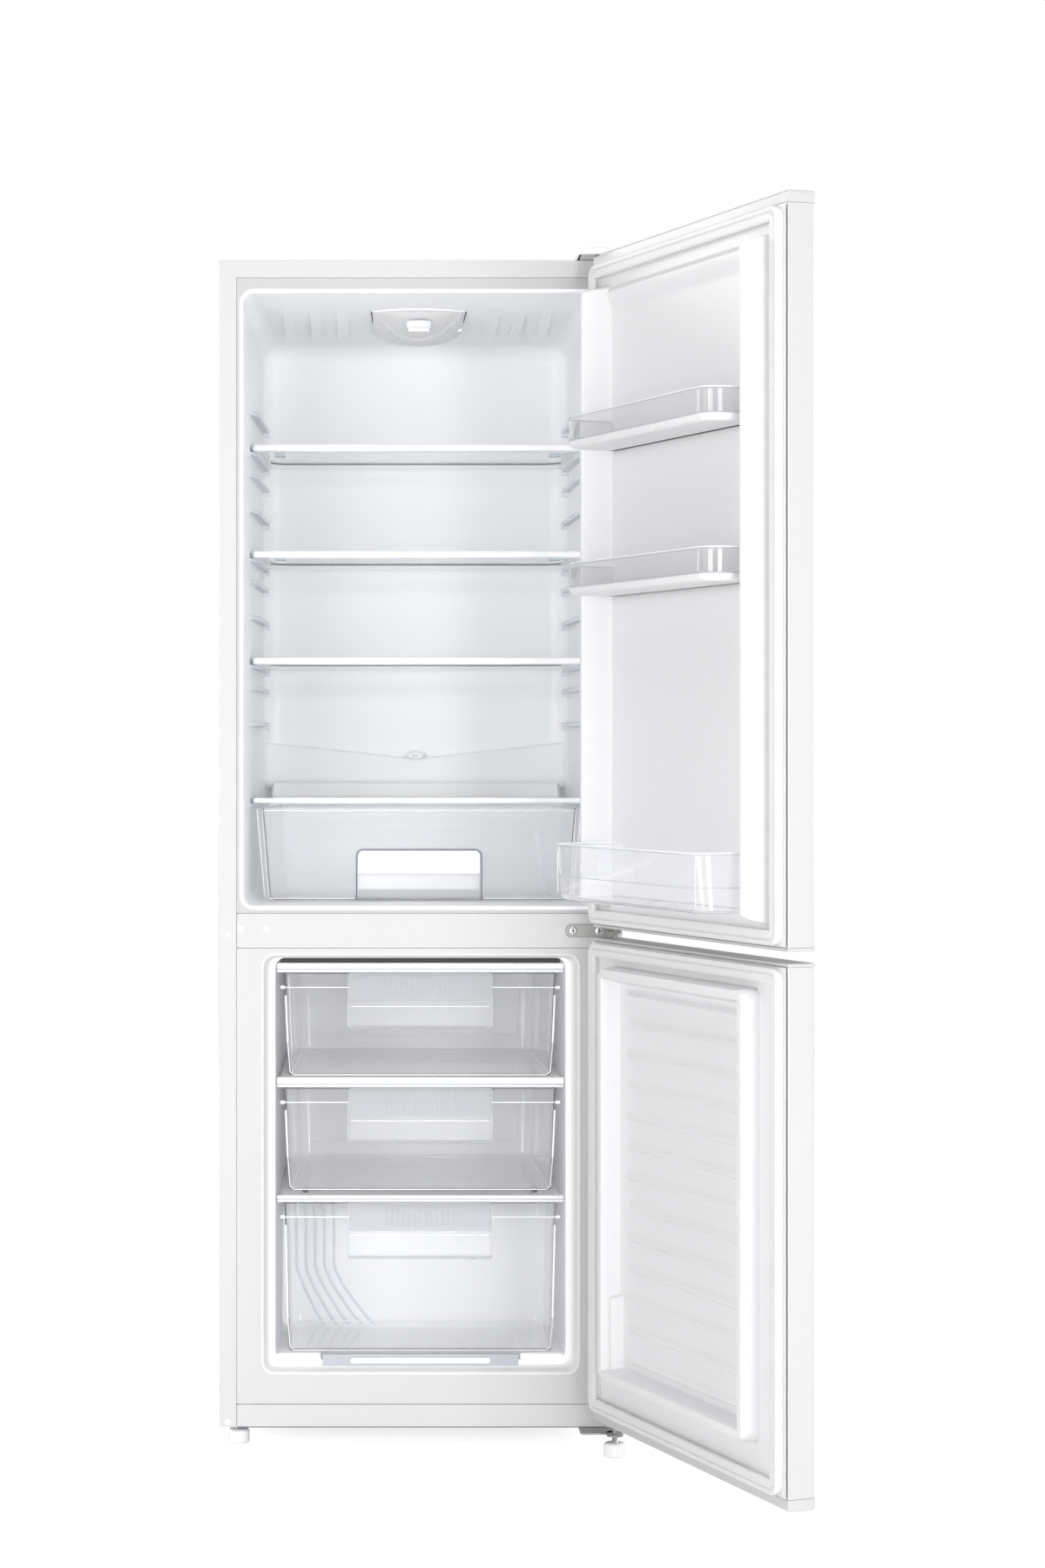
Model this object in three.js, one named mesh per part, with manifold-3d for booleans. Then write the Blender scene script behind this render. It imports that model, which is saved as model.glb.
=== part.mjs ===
// Bottom freezer refrigerator, standing with both doors open. Millimetres, +Z up, +X to the right.
// Pieces are drawn with Y = 0 on the front flange of the cabinet and +Y towards its back.
// The finished group is then moved so that the middle of its base box is the origin.
import * as THREE from "three";
import { mergeVertices } from "three/addons/utils/BufferGeometryUtils.js";
import Module from "manifold-3d";

const wasm = await Module();
wasm.setup();

// ---------------------------------------------------------------- driving dimensions
const gap = 0.3; // between pieces that rest on each other
const sheet = 1; // steel sheet of the cabinet and the door skins
const cornerSteps = 2; // half the flats in a quarter round

// cabinet
const cabinetWidth = 550;
const cabinetDepth = 505;
const footHeight = 31; // floor to the underside of the cabinet
const kickRailHeight = 31;
const freezerSill = 44.5; // liner between the kick rail and the freezer mouth
const mouthHeight = 565.5;
const freezerHead = 11.7; // liner between the freezer mouth and the middle rail
const midRailHeight = 47.3;
const fridgeSill = 10;
const openingHeight = 835.5;
const fridgeHead = 19.5; // liner between the fridge opening and the steel flange
const topFlange = 25;
const sideFlange = 24; // folded steel edge at each side of the front
const fridgeSideLand = 9.5; // liner between the steel edge and the fridge opening
const mouthSideLand = 38; // liner between the steel edge and the freezer mouth
const railReturn = 20; // folded edges of the two front rails
const linerWall = 2.5;

// fridge compartment
const fridgeCavityDepth = 435;
const fridgeSideDraft = 14.5; // how much nearer the side walls are at the back
const ceilingDraft = 20;
const floorDraft = 2;
const openingRadius = 13;
const ribHeight = 5;
const ribDepth = 9;
const ribFront = 126;
const ribBackGap = 33; // to the back of the compartment
const gutterRise = 200; // fridge floor to the outlet of the gutter
const gutterFall = 23; // how far the gutter falls from the sides to the outlet
const ledgeHeight = 51;
const ledgeDepth = 14;
const outletRadius = 5;

// freezer compartment
const rebateDepth = 18; // stepped mouth that the door's raised frame enters
const rebateDraft = 2;
const rebateStep = 12.5; // step inwards at the sides and the floor
const rebateTopStep = 3;
const freezerCavityDepth = 430;
const freezerSideDraft = 8;
const mouthRadius = 14;
const stepInsulation = 45; // between the freezer floor's back face and the compressor bay
const stepHeight = 166;
const stepRun = 41; // slope between the step's face and its top
const padHeight = 8.5; // raised pads on the freezer floor
const padWidth = 60;
const padGap = 65; // from the pads to the back face of the freezer floor

// compressor bay
const bayDepth = 205;
const bayHeight = 224;
const bayFaceHeight = 191;
const bayRun = 35;
const backPanelInset = 0.7;

// shelves
const shelfCount = 3;
const shelfPitch = 149.5;
const topShelfDrop = 194.5; // top of the opening to the top of the first shelf
const shelfFront = 126;
const shelfBackGap = 31; // to the back of the compartment
const shelfClearance = 4; // to the side walls
const shelfTrimHeight = 10;
const shelfTrimDepth = 14;
const shelfRail = 10; // width of the frame under the glass
const glassThickness = 4;
const glassLap = 3; // edge of the frame that stands around the glass
const ribOffsets = [41, 90.5]; // spare rib levels under each shelf
const coverRise = 145.1; // fridge floor to the top of the crisper's cover
const coverTrimHeight = 7.7;
const coverLedgeRise = 17;
const coverLedgeDepth = 12;
const coverLedgeInset = 14;

// crisper
const crisperFront = 118;
const crisperBackGap = 75;
const crisperSideGap = 13.5; // from the front panel's top edge to the side of the opening
const crisperTaper = 11; // half width that the panel and the bin lose down to the floor
const crisperInset = 7; // bin behind the edge of its front panel
const crisperPinch = 0.12; // share of the width that the bin loses towards its back
const crisperBackTaper = 18;
const crisperPanel = 3;
const crisperRise = 2.5; // running clearance over the fridge floor's front edge
const crisperTopDrop = 13.6;
const binWall = 2.5;
const crisperRadius = 12;
const gripHalfWidth = 86.5;
const gripHeight = 69.5;
const gripDepth = 22;
const gripBarHeight = 32;

// freezer drawers and evaporator shelves
const evaporatorFront = 30;
const evaporatorBackGap = 5;
const evaporatorPlate = 4;
const evaporatorTrimDepth = 12;
const evaporatorTrims = [13.3, 14, 9.5]; // front edge of each shelf, from the top
const drawerHeights = [142.2, 141.5, 204.6]; // from the top
const runnerHeights = [1, 6, 0]; // feet under each drawer, from the top
const runnerWidth = 8;
const drawerFront = 33;
const drawerBackGap = 30;
const lowDrawerGap = 15; // to the back face of the freezer floor
const drawerSideGap = 12;
const drawerTaper = 5.5;
const drawerBackTaper = 9;
const drawerPinch = 0.06;
const drawerRadius = 9;
const handleHalfWidth = 97.5;
const handleHeight = 38;
const handleReach = 10; // how far the handle stands in front of the drawer
const fingerHeight = 38;
const fingerDepth = 18;

// doors, drawn closed
const openAngle = 110.6; // both doors in the rest pose
const hingeInset = 13.35; // from the cabinet's side to the hinge axis
const hingeReach = 38.5; // from the front flange to the hinge axis
const gasketThickness = 12.4;
const gasketWidth = 18;
const gasketInset = 8.5; // from the door's side edge
const doorThickness = 37;
const doorBase = 48; // floor to the underside of the lower door
const doorGap = 14.4; // between the two doors
const doorLinerFlange = 2;
const tallMargin = 17; // door edge to gasket at the far ends
const shortMargin = 6.3; // door edge to gasket at the meeting ends
const doorSkinReturn = 12;
const capProud = 1;
const capRadius = 4;
const pinRadius = 4;
const pinClearance = 0.1;
const pinLength = 11;
const bushRadius = 7;
const bushLength = 13;

// raised frame of the upper door's liner
const upperDykeClearance = 3; // from the fridge opening at the sides
const upperDykeEnd = 4; // from the fridge opening at top and bottom
const upperDykeHeight = 37.5; // above the liner's flange
const upperDykeWidth = 13; // across the crest
const upperDykeDraft = 3.5; // slope of the outer walls
const upperWellDraft = 16; // slope of the inner walls
const upperPanelDrop = 3.5; // panel below the liner's flange
const upperEndWidth = 6; // low ends of the frame
const upperEndRise = 10;

// raised frame of the lower door's liner
const lowerDykeClearance = 5; // from the freezer mouth
const lowerDykeHeight = 24.5;
const lowerDykeWidth = 12;
const lowerDykeDraft = 3.5;
const lowerWellDraft = 4;
const lowerPanelDrop = 0; // panel level with the flange
const panelRibs = 13;
const panelRibPitch = 40;
const panelRibHeight = 3;

// door racks
const rackWall = 2.5;
const rackEndGap = 1.2; // between a rack and the raised frame
const rackRadius = 24;
const rackFloors = [1351, 1158]; // underside of the two upper racks
const trayThickness = 9.7;
const bandHeight = 31;
const upperRackReach = 62; // in front of the flange plane, into the fridge
const bottleFloor = 757.5;
const bottleRackHeight = 72.5;
const bottleRackReach = 80;
const bottleRackTaper = 8;
const bossHeight = 8;
const bossDepth = 5;
const bossLength = 30;
const dividerPlace = 81; // from the middle of the door
const dividerThickness = 3;
const dividerBack = 20;
const dividerFoot = 23; // over the floor of the rack
const dividerRise = 8; // over its rim
const dividerHook = 8;

// hinges and feet
const plateThickness = 3;
const hingePlateReach = 52;
const midPlateInset = 77.7; // from the cabinet's side to the far end of the plate
const midPlateHeight = 17.6;
const screwInsets = [67.4, 32]; // from the cabinet's side
const screwRadius = 6;
const screwHead = 2;
const hingeCoverRise = 9;
const coverWall = 2;
const footRadius = 15;
const footPadHeight = 19;
const studRadius = 4;
const footInset = 25;
const leftFootPlace = 50; // from the front flange
const rearFootRadius = 14;
const rearFootInset = 40;
const rearFootGap = 35;

// lamp unit in the ceiling, with the thermostat's dial
const lampFront = 117;
const lampBack = 290;
const lampHalfWidth = 65;
const lampBulge = 20; // how far the front edge bows out
const lampHeight = 12;
const lampDrop = 21; // depth of the lens under the housing
const lampWall = 2;
const dialRadius = 18;
const dialHeight = 9;
const dialPlace = 148; // from the front flange
const bulbRadius = 7.5;
const switchPlace = 41;
const switchDrop = 112.5; // under the top of the fridge opening
const switchRadius = 4;
const switchReach = 13;

// machine parts at the back
const compressorSide = -70;
const compressorGap = 103; // from its middle to the back of the cabinet
const compressorRadius = 74;
const compressorHeight = 150;
const mountHeight = 14;
const relayWidth = 34;
const relaySize = 60;
const glandRadius = 9;
const trayHalfWidth = 85;
const trayFrontGap = 20; // to the bay's front wall
const trayLip = 13; // behind the drain
const trayHeight = 26;
const drainRadius = 7;
const drainWall = 1.5;
const drainFall = 42; // height that the slanting bore loses
const drainBend = 25;
const drainEnd = 4; // over the tray
const condenserTube = 5;
const condenserRuns = 14;
const condenserPitch = 66;
const condenserInset = 50;
const condenserStandoff = 8;
const condenserBase = 350; // height of the lowest run
const condenserTail = 120; // how far its lower end reaches down into the bay
const strapWidth = 14;
const drierRadius = 7;
const drierLength = 90;
const drierDrop = 10; // under the bay's roof

// ---------------------------------------------------------------- places worked out from them
const halfWidth = cabinetWidth / 2;
const baseZ = footHeight;
const mouthBottom = baseZ + kickRailHeight + freezerSill;
const mouthTop = mouthBottom + mouthHeight;
const railBottom = mouthTop + freezerHead;
const railTop = railBottom + midRailHeight;
const openingBottom = railTop + fridgeSill;
const openingTop = openingBottom + openingHeight;
const topZ = openingTop + fridgeHead + topFlange;
const clearHalf = halfWidth - sideFlange; // between the folded edges
const openingHalf = clearHalf - fridgeSideLand;
const mouthHalf = clearHalf - mouthSideLand;
const innerHalf = halfWidth - sheet - gap;

const ribBack = fridgeCavityDepth - ribBackGap;
const shelfBack = fridgeCavityDepth - shelfBackGap;
const crisperBack = fridgeCavityDepth - crisperBackGap;
const crisperHalfWidth = openingHalf - crisperSideGap;
const bayFront = cabinetDepth - bayDepth;
const stepDepth = bayFront - stepInsulation;
const padDepth = stepDepth - padGap;
const lowDrawerBack = stepDepth - lowDrawerGap;
const evaporatorBack = freezerCavityDepth - evaporatorBackGap;
const drawerBack = freezerCavityDepth - drawerBackGap;

const fridgeMouth = [-openingHalf, openingHalf, openingBottom, openingTop];
const fridgeEnd = [
  -openingHalf + fridgeSideDraft, openingHalf - fridgeSideDraft,
  openingBottom + floorDraft, openingTop - ceilingDraft,
];
const freezerMouth = [-mouthHalf, mouthHalf, mouthBottom, mouthTop];
const rebateEnd = grow(freezerMouth, -rebateDraft);
const freezerHalf = mouthHalf - rebateStep - rebateDraft;
const drawerHalfWidth = freezerHalf - drawerSideGap;
const freezerFloor = mouthBottom + rebateStep;
const freezerTop = mouthTop - rebateTopStep;
const freezerNear = [-freezerHalf, freezerHalf, freezerFloor, freezerTop];
const freezerFar = [
  -freezerHalf + freezerSideDraft, freezerHalf - freezerSideDraft, freezerFloor, freezerTop,
];
const linerFront = gap;
const foamFront = linerFront + linerWall + gap;
const panelFront = cabinetDepth - backPanelInset - sheet;
const foamBack = panelFront - gap;
const drainPlace = (fridgeCavityDepth + linerWall + panelFront) / 2;
const compressorPlace = [compressorSide, cabinetDepth - compressorGap];
const bayTop = baseZ + bayHeight + sheet;

const hinge = [halfWidth - hingeInset, -hingeReach];
const doorBack = -gasketThickness - gap * 1.5; // inner plane of a door's body
const doorFront = doorBack - doorThickness;
const linerFace = doorBack + gap + doorLinerFlange; // level on which a door's seal sits
const upperDoorBottom = railBottom + (railTop - railBottom) / 2 + doorGap / 2;
const lowerDoorTop = upperDoorBottom - doorGap;
const midGap = (upperDoorBottom + lowerDoorTop) / 2; // height of the gap between the doors
const outletZ = openingBottom + gutterRise;
const midPlateLeft = halfWidth - midPlateInset;
const screwPlaces = screwInsets.map((inset) => halfWidth - inset);
const leftFoot = [footInset - halfWidth, leftFootPlace];
const rearFeet = [-1, 1].map((side) => [
  side * (halfWidth - rearFootInset), cabinetDepth - rearFootGap,
]);
const condenserHalfWidth = halfWidth - condenserInset;
const trayBase = baseZ + sheet + gap + mountHeight + compressorHeight + gap;
const drainLow = trayBase + trayHeight + drainEnd;

// ---------------------------------------------------------------- shape helpers
function grow([u0, u1, v0, v1], by) {
  return [u0 - by, u1 + by, v0 - by, v1 + by];
}

function inset([u0, u1, v0, v1], du, dv) {
  return [u0 + du, u1 - du, v0 + dv, v1 - dv];
}

// A closed three.js geometry as a solid for cutting and joining.
function solid(geometry) {
  for (const name of ["normal", "uv"]) geometry.deleteAttribute(name);
  const merged = mergeVertices(geometry, 1e-4);
  return new wasm.Manifold(new wasm.Mesh({
    numProp: 3,
    vertProperties: merged.attributes.position.array,
    triVerts: Uint32Array.from(merged.index.array),
  }));
}

function block(x0, x1, y0, y1, z0, z1) {
  const geometry = new THREE.BoxGeometry(x1 - x0, y1 - y0, z1 - z0);
  geometry.translate((x0 + x1) / 2, (y0 + y1) / 2, (z0 + z1) / 2);
  return solid(geometry);
}

function roundedRect([u0, u1, v0, v1], radius) {
  const shape = new THREE.Shape();
  const quarter = Math.PI / 2;
  shape.absarc(u1 - radius, v0 + radius, radius, -quarter, 0);
  shape.absarc(u1 - radius, v1 - radius, radius, 0, quarter);
  shape.absarc(u0 + radius, v1 - radius, radius, quarter, 2 * quarter);
  shape.absarc(u0 + radius, v0 + radius, radius, 2 * quarter, 3 * quarter);
  return shape;
}

function polygon(points) {
  return new THREE.Shape(points.map(([u, v]) => new THREE.Vector2(u, v)));
}

function extrude(shape, depth) {
  return new THREE.ExtrudeGeometry(shape, {
    depth, bevelEnabled: false, curveSegments: cornerSteps,
  });
}

// A shape drawn in X and Z, carried from y0 back to y1.
function prismY(shape, y0, y1) {
  return solid(extrude(shape, y1 - y0).rotateX(Math.PI / 2).translate(0, y1, 0));
}

// A shape drawn in Y and Z, carried from x0 to x1.
function prismX(shape, x0, x1) {
  const turned = new THREE.Matrix4().set(0, 0, 1, x0, 1, 0, 0, 0, 0, 1, 0, 0, 0, 0, 0, 1);
  return solid(extrude(shape, x1 - x0).applyMatrix4(turned));
}

// A shape drawn in X and Y, carried up from z0 to z1.
function prismZ(shape, z0, z1) {
  return solid(extrude(shape, z1 - z0).translate(0, 0, z0));
}

// A rounded rectangle that runs evenly from one outline to another over a depth. A pinch makes
// it narrower towards its far side.
function loft(first, last, depth, radius, pinch = 0) {
  const geometry = extrude(roundedRect(first, radius), depth);
  const at = geometry.attributes.position;
  const mix = THREE.MathUtils.lerp;
  for (let i = 0; i < at.count; i++) {
    const t = at.getZ(i) / depth;
    const u = (at.getX(i) - first[0]) / (first[1] - first[0]);
    const v = (at.getY(i) - first[2]) / (first[3] - first[2]);
    at.setX(i, mix(mix(first[0], last[0], t), mix(first[1], last[1], t), u) * (1 - pinch * v));
    at.setY(i, mix(mix(first[2], last[2], t), mix(first[3], last[3], t), v));
  }
  return geometry;
}

function loftY(near, far, y0, y1, radius) {
  return solid(loft(far, near, y1 - y0, radius).rotateX(Math.PI / 2).translate(0, y1, 0));
}

function loftZ(low, high, z0, z1, radius, pinch) {
  return solid(loft(low, high, z1 - z0, radius, pinch).translate(0, 0, z0));
}

function post(x, y, z0, z1, radius, flats = 16, topRadius = radius) {
  const geometry = new THREE.CylinderGeometry(topRadius, radius, z1 - z0, flats);
  return solid(geometry.rotateX(Math.PI / 2).translate(x, y, (z0 + z1) / 2));
}

function rodY(x, z, y0, y1, radius, flats = 16) {
  const geometry = new THREE.CylinderGeometry(radius, radius, y1 - y0, flats);
  return solid(geometry.translate(x, (y0 + y1) / 2, z));
}

function rodX(y, z, x0, x1, radius, flats = 16) {
  const geometry = new THREE.CylinderGeometry(radius, radius, x1 - x0, flats);
  return solid(geometry.rotateZ(Math.PI / 2).translate((x0 + x1) / 2, y, z));
}

// A profile of [radius, height] pairs from the axis to the axis, spun about a vertical line.
function spun(profile, x, y, flats = 20) {
  const points = profile.map(([r, z]) => new THREE.Vector2(r, z));
  return solid(new THREE.LatheGeometry(points, flats).rotateX(Math.PI / 2).translate(x, y, 0));
}

function tube(points, radius, steps, flats = 10) {
  const circle = new THREE.Shape().absarc(0, 0, radius, 0, 2 * Math.PI);
  const path = new THREE.CatmullRomCurve3(points.map((p) => new THREE.Vector3(...p)));
  return solid(new THREE.ExtrudeGeometry(circle, {
    steps, extrudePath: path, curveSegments: flats / 2,
  }));
}

function join(...pieces) {
  return pieces.reduce((whole, piece) => whole.add(piece));
}

// ---------------------------------------------------------------- materials
function paint(color, roughness, metalness = 0, opacity = 1) {
  return new THREE.MeshStandardMaterial({
    color, roughness, metalness, opacity, transparent: opacity < 1,
  });
}

const materials = {
  enamel: paint("#eeeeee", 0.35),
  linerPlastic: paint("#eceef2", 0.4),
  whitePlastic: paint("#f4f4f4", 0.4),
  seal: paint("#f1f1f0", 0.6),
  foam: paint("#e6d9ae", 0.9),
  zincSteel: paint("#a3a39f", 0.4, 0.8),
  galvanised: paint("#b4b7ba", 0.45, 0.7),
  screwSteel: paint("#c9cacc", 0.3, 0.9),
  clearPlastic: paint("#e3e9ee", 0.1, 0, 0.35),
  frosted: paint("#eef1f5", 0.4, 0, 0.7),
  shelfGlass: paint("#dfecea", 0.05, 0, 0.3),
  blackPaint: paint("#1c1c1e", 0.5),
  blackPlastic: paint("#26272a", 0.55),
  bulbGlass: paint("#fbf8ee", 0.3),
};

const model = new THREE.Group();
const cabinet = new THREE.Group();
model.add(cabinet);

function addPiece(parent, name, shape, material) {
  const drawn = shape.getMesh();
  const geometry = new THREE.BufferGeometry();
  geometry.setAttribute("position", new THREE.BufferAttribute(drawn.vertProperties, 3));
  geometry.setIndex(new THREE.BufferAttribute(drawn.triVerts, 1));
  geometry.computeVertexNormals();
  const mesh = new THREE.Mesh(geometry, material);
  mesh.name = name;
  parent.add(mesh);
}

// ---------------------------------------------------------------- the two compartments as hollow shapes
// Each is the space inside its liner, grown outwards by a distance.
function fridgeSpace(by) {
  const back = fridgeCavityDepth + by;
  const radius = Math.max(openingRadius + by, 1);
  return loftY(grow(fridgeMouth, by), grow(fridgeEnd, by), -sheet, back, radius);
}

function freezerSpace(by) {
  const front = rebateDepth - by;
  const back = freezerCavityDepth + by;
  const whole = loftY(grow(freezerNear, by), grow(freezerFar, by), front, back, mouthRadius + by);
  const floor = freezerFloor - by;
  const face = stepDepth + by;
  const side = polygon([
    [front - 1, floor - 1], [face, floor - 1], [face, floor + stepHeight],
    [face + stepRun, floor + stepHeight + stepRun], [back + 1, floor + stepHeight + stepRun],
    [back + 1, freezerTop + by + 1], [front - 1, freezerTop + by + 1],
  ]);
  return whole.intersect(prismX(side, -freezerHalf - by - 1, freezerHalf + by + 1));
}

function rebateSpace(by) {
  return loftY(grow(freezerMouth, by), grow(rebateEnd, by), -sheet, rebateDepth + by, mouthRadius);
}

// Low rails along both side walls, at one height: the space near the walls of the compartment.
function sideRibs(z) {
  const ring = fridgeSpace(linerWall / 2).subtract(fridgeSpace(-ribDepth));
  const slab = (x0, x1) => block(x0, x1, ribFront, ribBack, z - ribHeight, z);
  const inner = openingHalf - fridgeSideDraft - ribDepth - openingRadius;
  return join(slab(-halfWidth, -inner), slab(inner, halfWidth)).intersect(ring);
}

const shelfTops = Array.from({ length: shelfCount }, (_, i) => openingTop - topShelfDrop - i * shelfPitch);
const coverTop = openingBottom + coverRise;

// ---------------------------------------------------------------- cabinet
function outerWrap() {
  const whole = block(-halfWidth, halfWidth, 0, cabinetDepth, baseZ, topZ);
  const inside = block(
    -halfWidth + sheet, halfWidth - sheet, sheet, cabinetDepth + 1, baseZ - 1, topZ - sheet);
  const front = block(-clearHalf, clearHalf, -1, sheet + 1, baseZ - 1, topZ - topFlange);
  return whole.subtract(inside).subtract(front);
}

function fridgeLiner() {
  const flange = block(
    -clearHalf + gap, clearHalf - gap, linerFront, linerFront + linerWall,
    railTop + gap, topZ - topFlange - gap);
  const shell = fridgeSpace(linerWall).intersect(
    block(-halfWidth, halfWidth, linerFront, cabinetDepth, baseZ, topZ));
  const halfLedge = openingHalf;
  const ledge = prismY(polygon([
    [-halfLedge, outletZ + gutterFall], [-outletRadius * 3, outletZ],
    [outletRadius * 3, outletZ], [halfLedge, outletZ + gutterFall],
    [halfLedge, outletZ - ledgeHeight + gutterFall], [-halfLedge, outletZ - ledgeHeight + gutterFall],
  ]), fridgeCavityDepth - ledgeDepth, fridgeCavityDepth + linerWall / 2);
  const ribs = [];
  for (const top of shelfTops) {
    for (const drop of [shelfTrimHeight + gap, ...ribOffsets]) ribs.push(sideRibs(top - drop));
  }
  ribs.push(sideRibs(shelfTops[0] + shelfPitch - ribOffsets[1]));
  ribs.push(sideRibs(coverTop - coverTrimHeight - gap));
  const hollow = fridgeSpace(0).subtract(join(ledge.intersect(fridgeSpace(linerWall / 2)), ...ribs));
  const switchZ = openingTop - switchDrop;
  const switchHole = rodX(switchPlace, switchZ, openingHalf - fridgeSideDraft, halfWidth,
    switchRadius + pinClearance);
  return join(flange, shell).subtract(hollow).subtract(outletBore(outletRadius)).subtract(switchHole);
}

// The slanting way from the gutter through the liner's back into the drain tube.
function outletPath() {
  const start = [0, fridgeCavityDepth - ledgeDepth / 2, outletZ + 2];
  const end = [0, drainPlace, outletZ - drainFall];
  return { start, end };
}

function outletBore(radius) {
  const { start, end } = outletPath();
  const from = new THREE.Vector3(...start);
  const to = new THREE.Vector3(...end);
  const length = from.distanceTo(to);
  const geometry = new THREE.CylinderGeometry(radius, radius, length, 12);
  const turn = new THREE.Quaternion().setFromUnitVectors(
    new THREE.Vector3(0, 1, 0), to.clone().sub(from).normalize());
  geometry.applyQuaternion(turn);
  const middle = from.add(to).multiplyScalar(0.5);
  return solid(geometry.translate(middle.x, middle.y, middle.z));
}

function freezerLiner() {
  const flange = block(
    -clearHalf + gap, clearHalf - gap, linerFront, linerFront + linerWall,
    baseZ + kickRailHeight + gap, railBottom - gap);
  const room = block(-halfWidth, halfWidth, linerFront, cabinetDepth, baseZ, topZ);
  const shell = join(freezerSpace(linerWall), rebateSpace(linerWall)).intersect(room);
  const pads = [];
  for (const side of [-1, 1]) {
    const outer = side * (freezerHalf + linerWall / 2);
    const inner = side * (freezerHalf - padWidth);
    pads.push(block(
      Math.min(outer, inner), Math.max(outer, inner), rebateDepth + linerWall, padDepth,
      freezerFloor - linerWall / 2, freezerFloor + padHeight));
  }
  const held = join(...pads).intersect(freezerSpace(linerWall / 2));
  return join(flange, shell).subtract(join(freezerSpace(0), rebateSpace(0)).subtract(held));
}

function foamBody() {
  const whole = block(-innerHalf, innerHalf, foamFront, foamBack, baseZ + 2 * sheet, topZ - sheet - gap);
  const railRoom = block(
    -halfWidth, halfWidth, 0, railReturn + gap, railBottom - gap, railTop + gap);
  const kickRoom = block(-halfWidth, halfWidth, 0, railReturn + gap, baseZ, baseZ + kickRailHeight + gap);
  const switchZ = openingTop - switchDrop;
  const switchRoom = block(openingHalf - fridgeSideDraft, innerHalf - sheet,
    switchPlace - 2 * switchRadius, switchPlace + 2 * switchRadius,
    switchZ - 2 * switchRadius, switchZ + 2 * switchRadius);
  const drainRoom = join(outletBore(drainRadius), drainRun(drainRadius, drainLow, 0.5));
  return whole
    .subtract(fridgeSpace(linerWall + gap))
    .subtract(join(freezerSpace(linerWall + gap), rebateSpace(linerWall + gap)))
    .subtract(join(railRoom, kickRoom, bay(sheet + gap), drainRoom, switchRoom));
}

function bay(by) {
  const floor = baseZ - 1;
  return prismX(polygon([
    [bayFront - by, floor], [cabinetDepth + 1, floor], [cabinetDepth + 1, bayTop + by],
    [bayFront + bayRun - by / 2, bayTop + by], [bayFront - by, baseZ + bayFaceHeight + by / 2],
  ]), -innerHalf - 1, innerHalf + 1);
}

// A folded channel across the front, open towards the back.
function frontRail(low, high) {
  const whole = block(-clearHalf + gap, clearHalf - gap, 0, railReturn, low, high);
  return whole.subtract(block(-halfWidth, halfWidth, sheet, railReturn + 1, low + sheet, high - sheet));
}

function basePan() {
  const plate = block(-innerHalf, innerHalf, railReturn + gap, cabinetDepth - sheet, baseZ, baseZ + sheet);
  const feet = rearFeet.map(([x, y]) => post(x, y, 0, baseZ + sheet / 2, rearFootRadius));
  const lip = block(
    -innerHalf, innerHalf, cabinetDepth - 2 * sheet, cabinetDepth - sheet, baseZ, baseZ + 10 * sheet);
  return join(plate, lip, ...feet);
}

// One folded sheet: the back, the roof of the compressor bay and the bay's front wall.
function backPanel() {
  const back = block(-innerHalf, innerHalf, panelFront, panelFront + sheet, bayTop, topZ - sheet - gap);
  const room = block(-innerHalf, innerHalf, 0, panelFront + sheet, baseZ + sheet + gap, topZ);
  const folded = bay(sheet).intersect(room).add(back);
  return folded.subtract(bay(0)).subtract(post(0, drainPlace, bayTop - 1, bayTop + 2 * sheet, drainRadius));
}

addPiece(cabinet, "outer_wrap", outerWrap(), materials.enamel);
addPiece(cabinet, "fridge_liner", fridgeLiner(), materials.linerPlastic);
addPiece(cabinet, "freezer_liner", freezerLiner(), materials.linerPlastic);
addPiece(cabinet, "cabinet_foam", foamBody(), materials.foam);
addPiece(cabinet, "mid_rail", frontRail(railBottom, railTop), materials.enamel);
addPiece(cabinet, "kick_rail", frontRail(baseZ, baseZ + kickRailHeight), materials.enamel);
addPiece(cabinet, "base_pan", basePan(), materials.galvanised);
addPiece(cabinet, "back_panel", backPanel(), materials.galvanised);

// ---------------------------------------------------------------- machine parts
function compressor() {
  const [x, y] = compressorPlace;
  const base = baseZ + sheet + gap;
  const deck = base + mountHeight;
  const shellTop = deck + compressorHeight;
  const r = compressorRadius;
  const can = spun([
    [0, deck - 2], [r * 0.72, deck - 2], [r * 0.95, deck + 12], [r, deck + 34],
    [r, shellTop - 52], [r * 0.93, shellTop - 26], [r * 0.66, shellTop - 6], [0, shellTop],
  ], x, y, 24);
  const footX = compressorRadius * 1.12;
  const footY = compressorRadius * 0.72;
  const plate = prismZ(roundedRect([x - footX, x + footX, y - footY, y + footY], 12), deck, deck + 3);
  const mounts = [[-1, -1], [1, -1], [-1, 1], [1, 1]].map(([u, v]) =>
    post(x + u * (footX - 13), y + v * (footY - 13), base, deck + 1, 9, 12));
  return join(can, plate, ...mounts);
}

function relayBox() {
  const [x, y] = compressorPlace;
  const low = baseZ + sheet + mountHeight + relaySize / 2;
  const near = x + compressorRadius + gap;
  const box = block(near, near + relayWidth, y - relaySize / 2, y + relaySize / 2, low, low + relaySize);
  const outer = rodY(near + relayWidth / 2, low + relaySize / 3,
    y + relaySize / 2 - 1, y + relaySize / 2 + 14, glandRadius);
  const bore = rodY(near + relayWidth / 2, low + relaySize / 3,
    y + relaySize / 2 - 6, y + relaySize / 2 + 15, glandRadius / 2);
  return join(box, outer).subtract(bore);
}

function dripTray() {
  const x = compressorPlace[0];
  const low = [x - trayHalfWidth, x + trayHalfWidth, bayFront + trayFrontGap, drainPlace + trayLip];
  const outer = loftZ(low, grow(low, 6), trayBase, trayBase + trayHeight, 14);
  const inner = loftZ(grow(low, -2), grow(low, 4), trayBase + 2, trayBase + trayHeight + 1, 12);
  return outer.subtract(inner);
}

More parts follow.
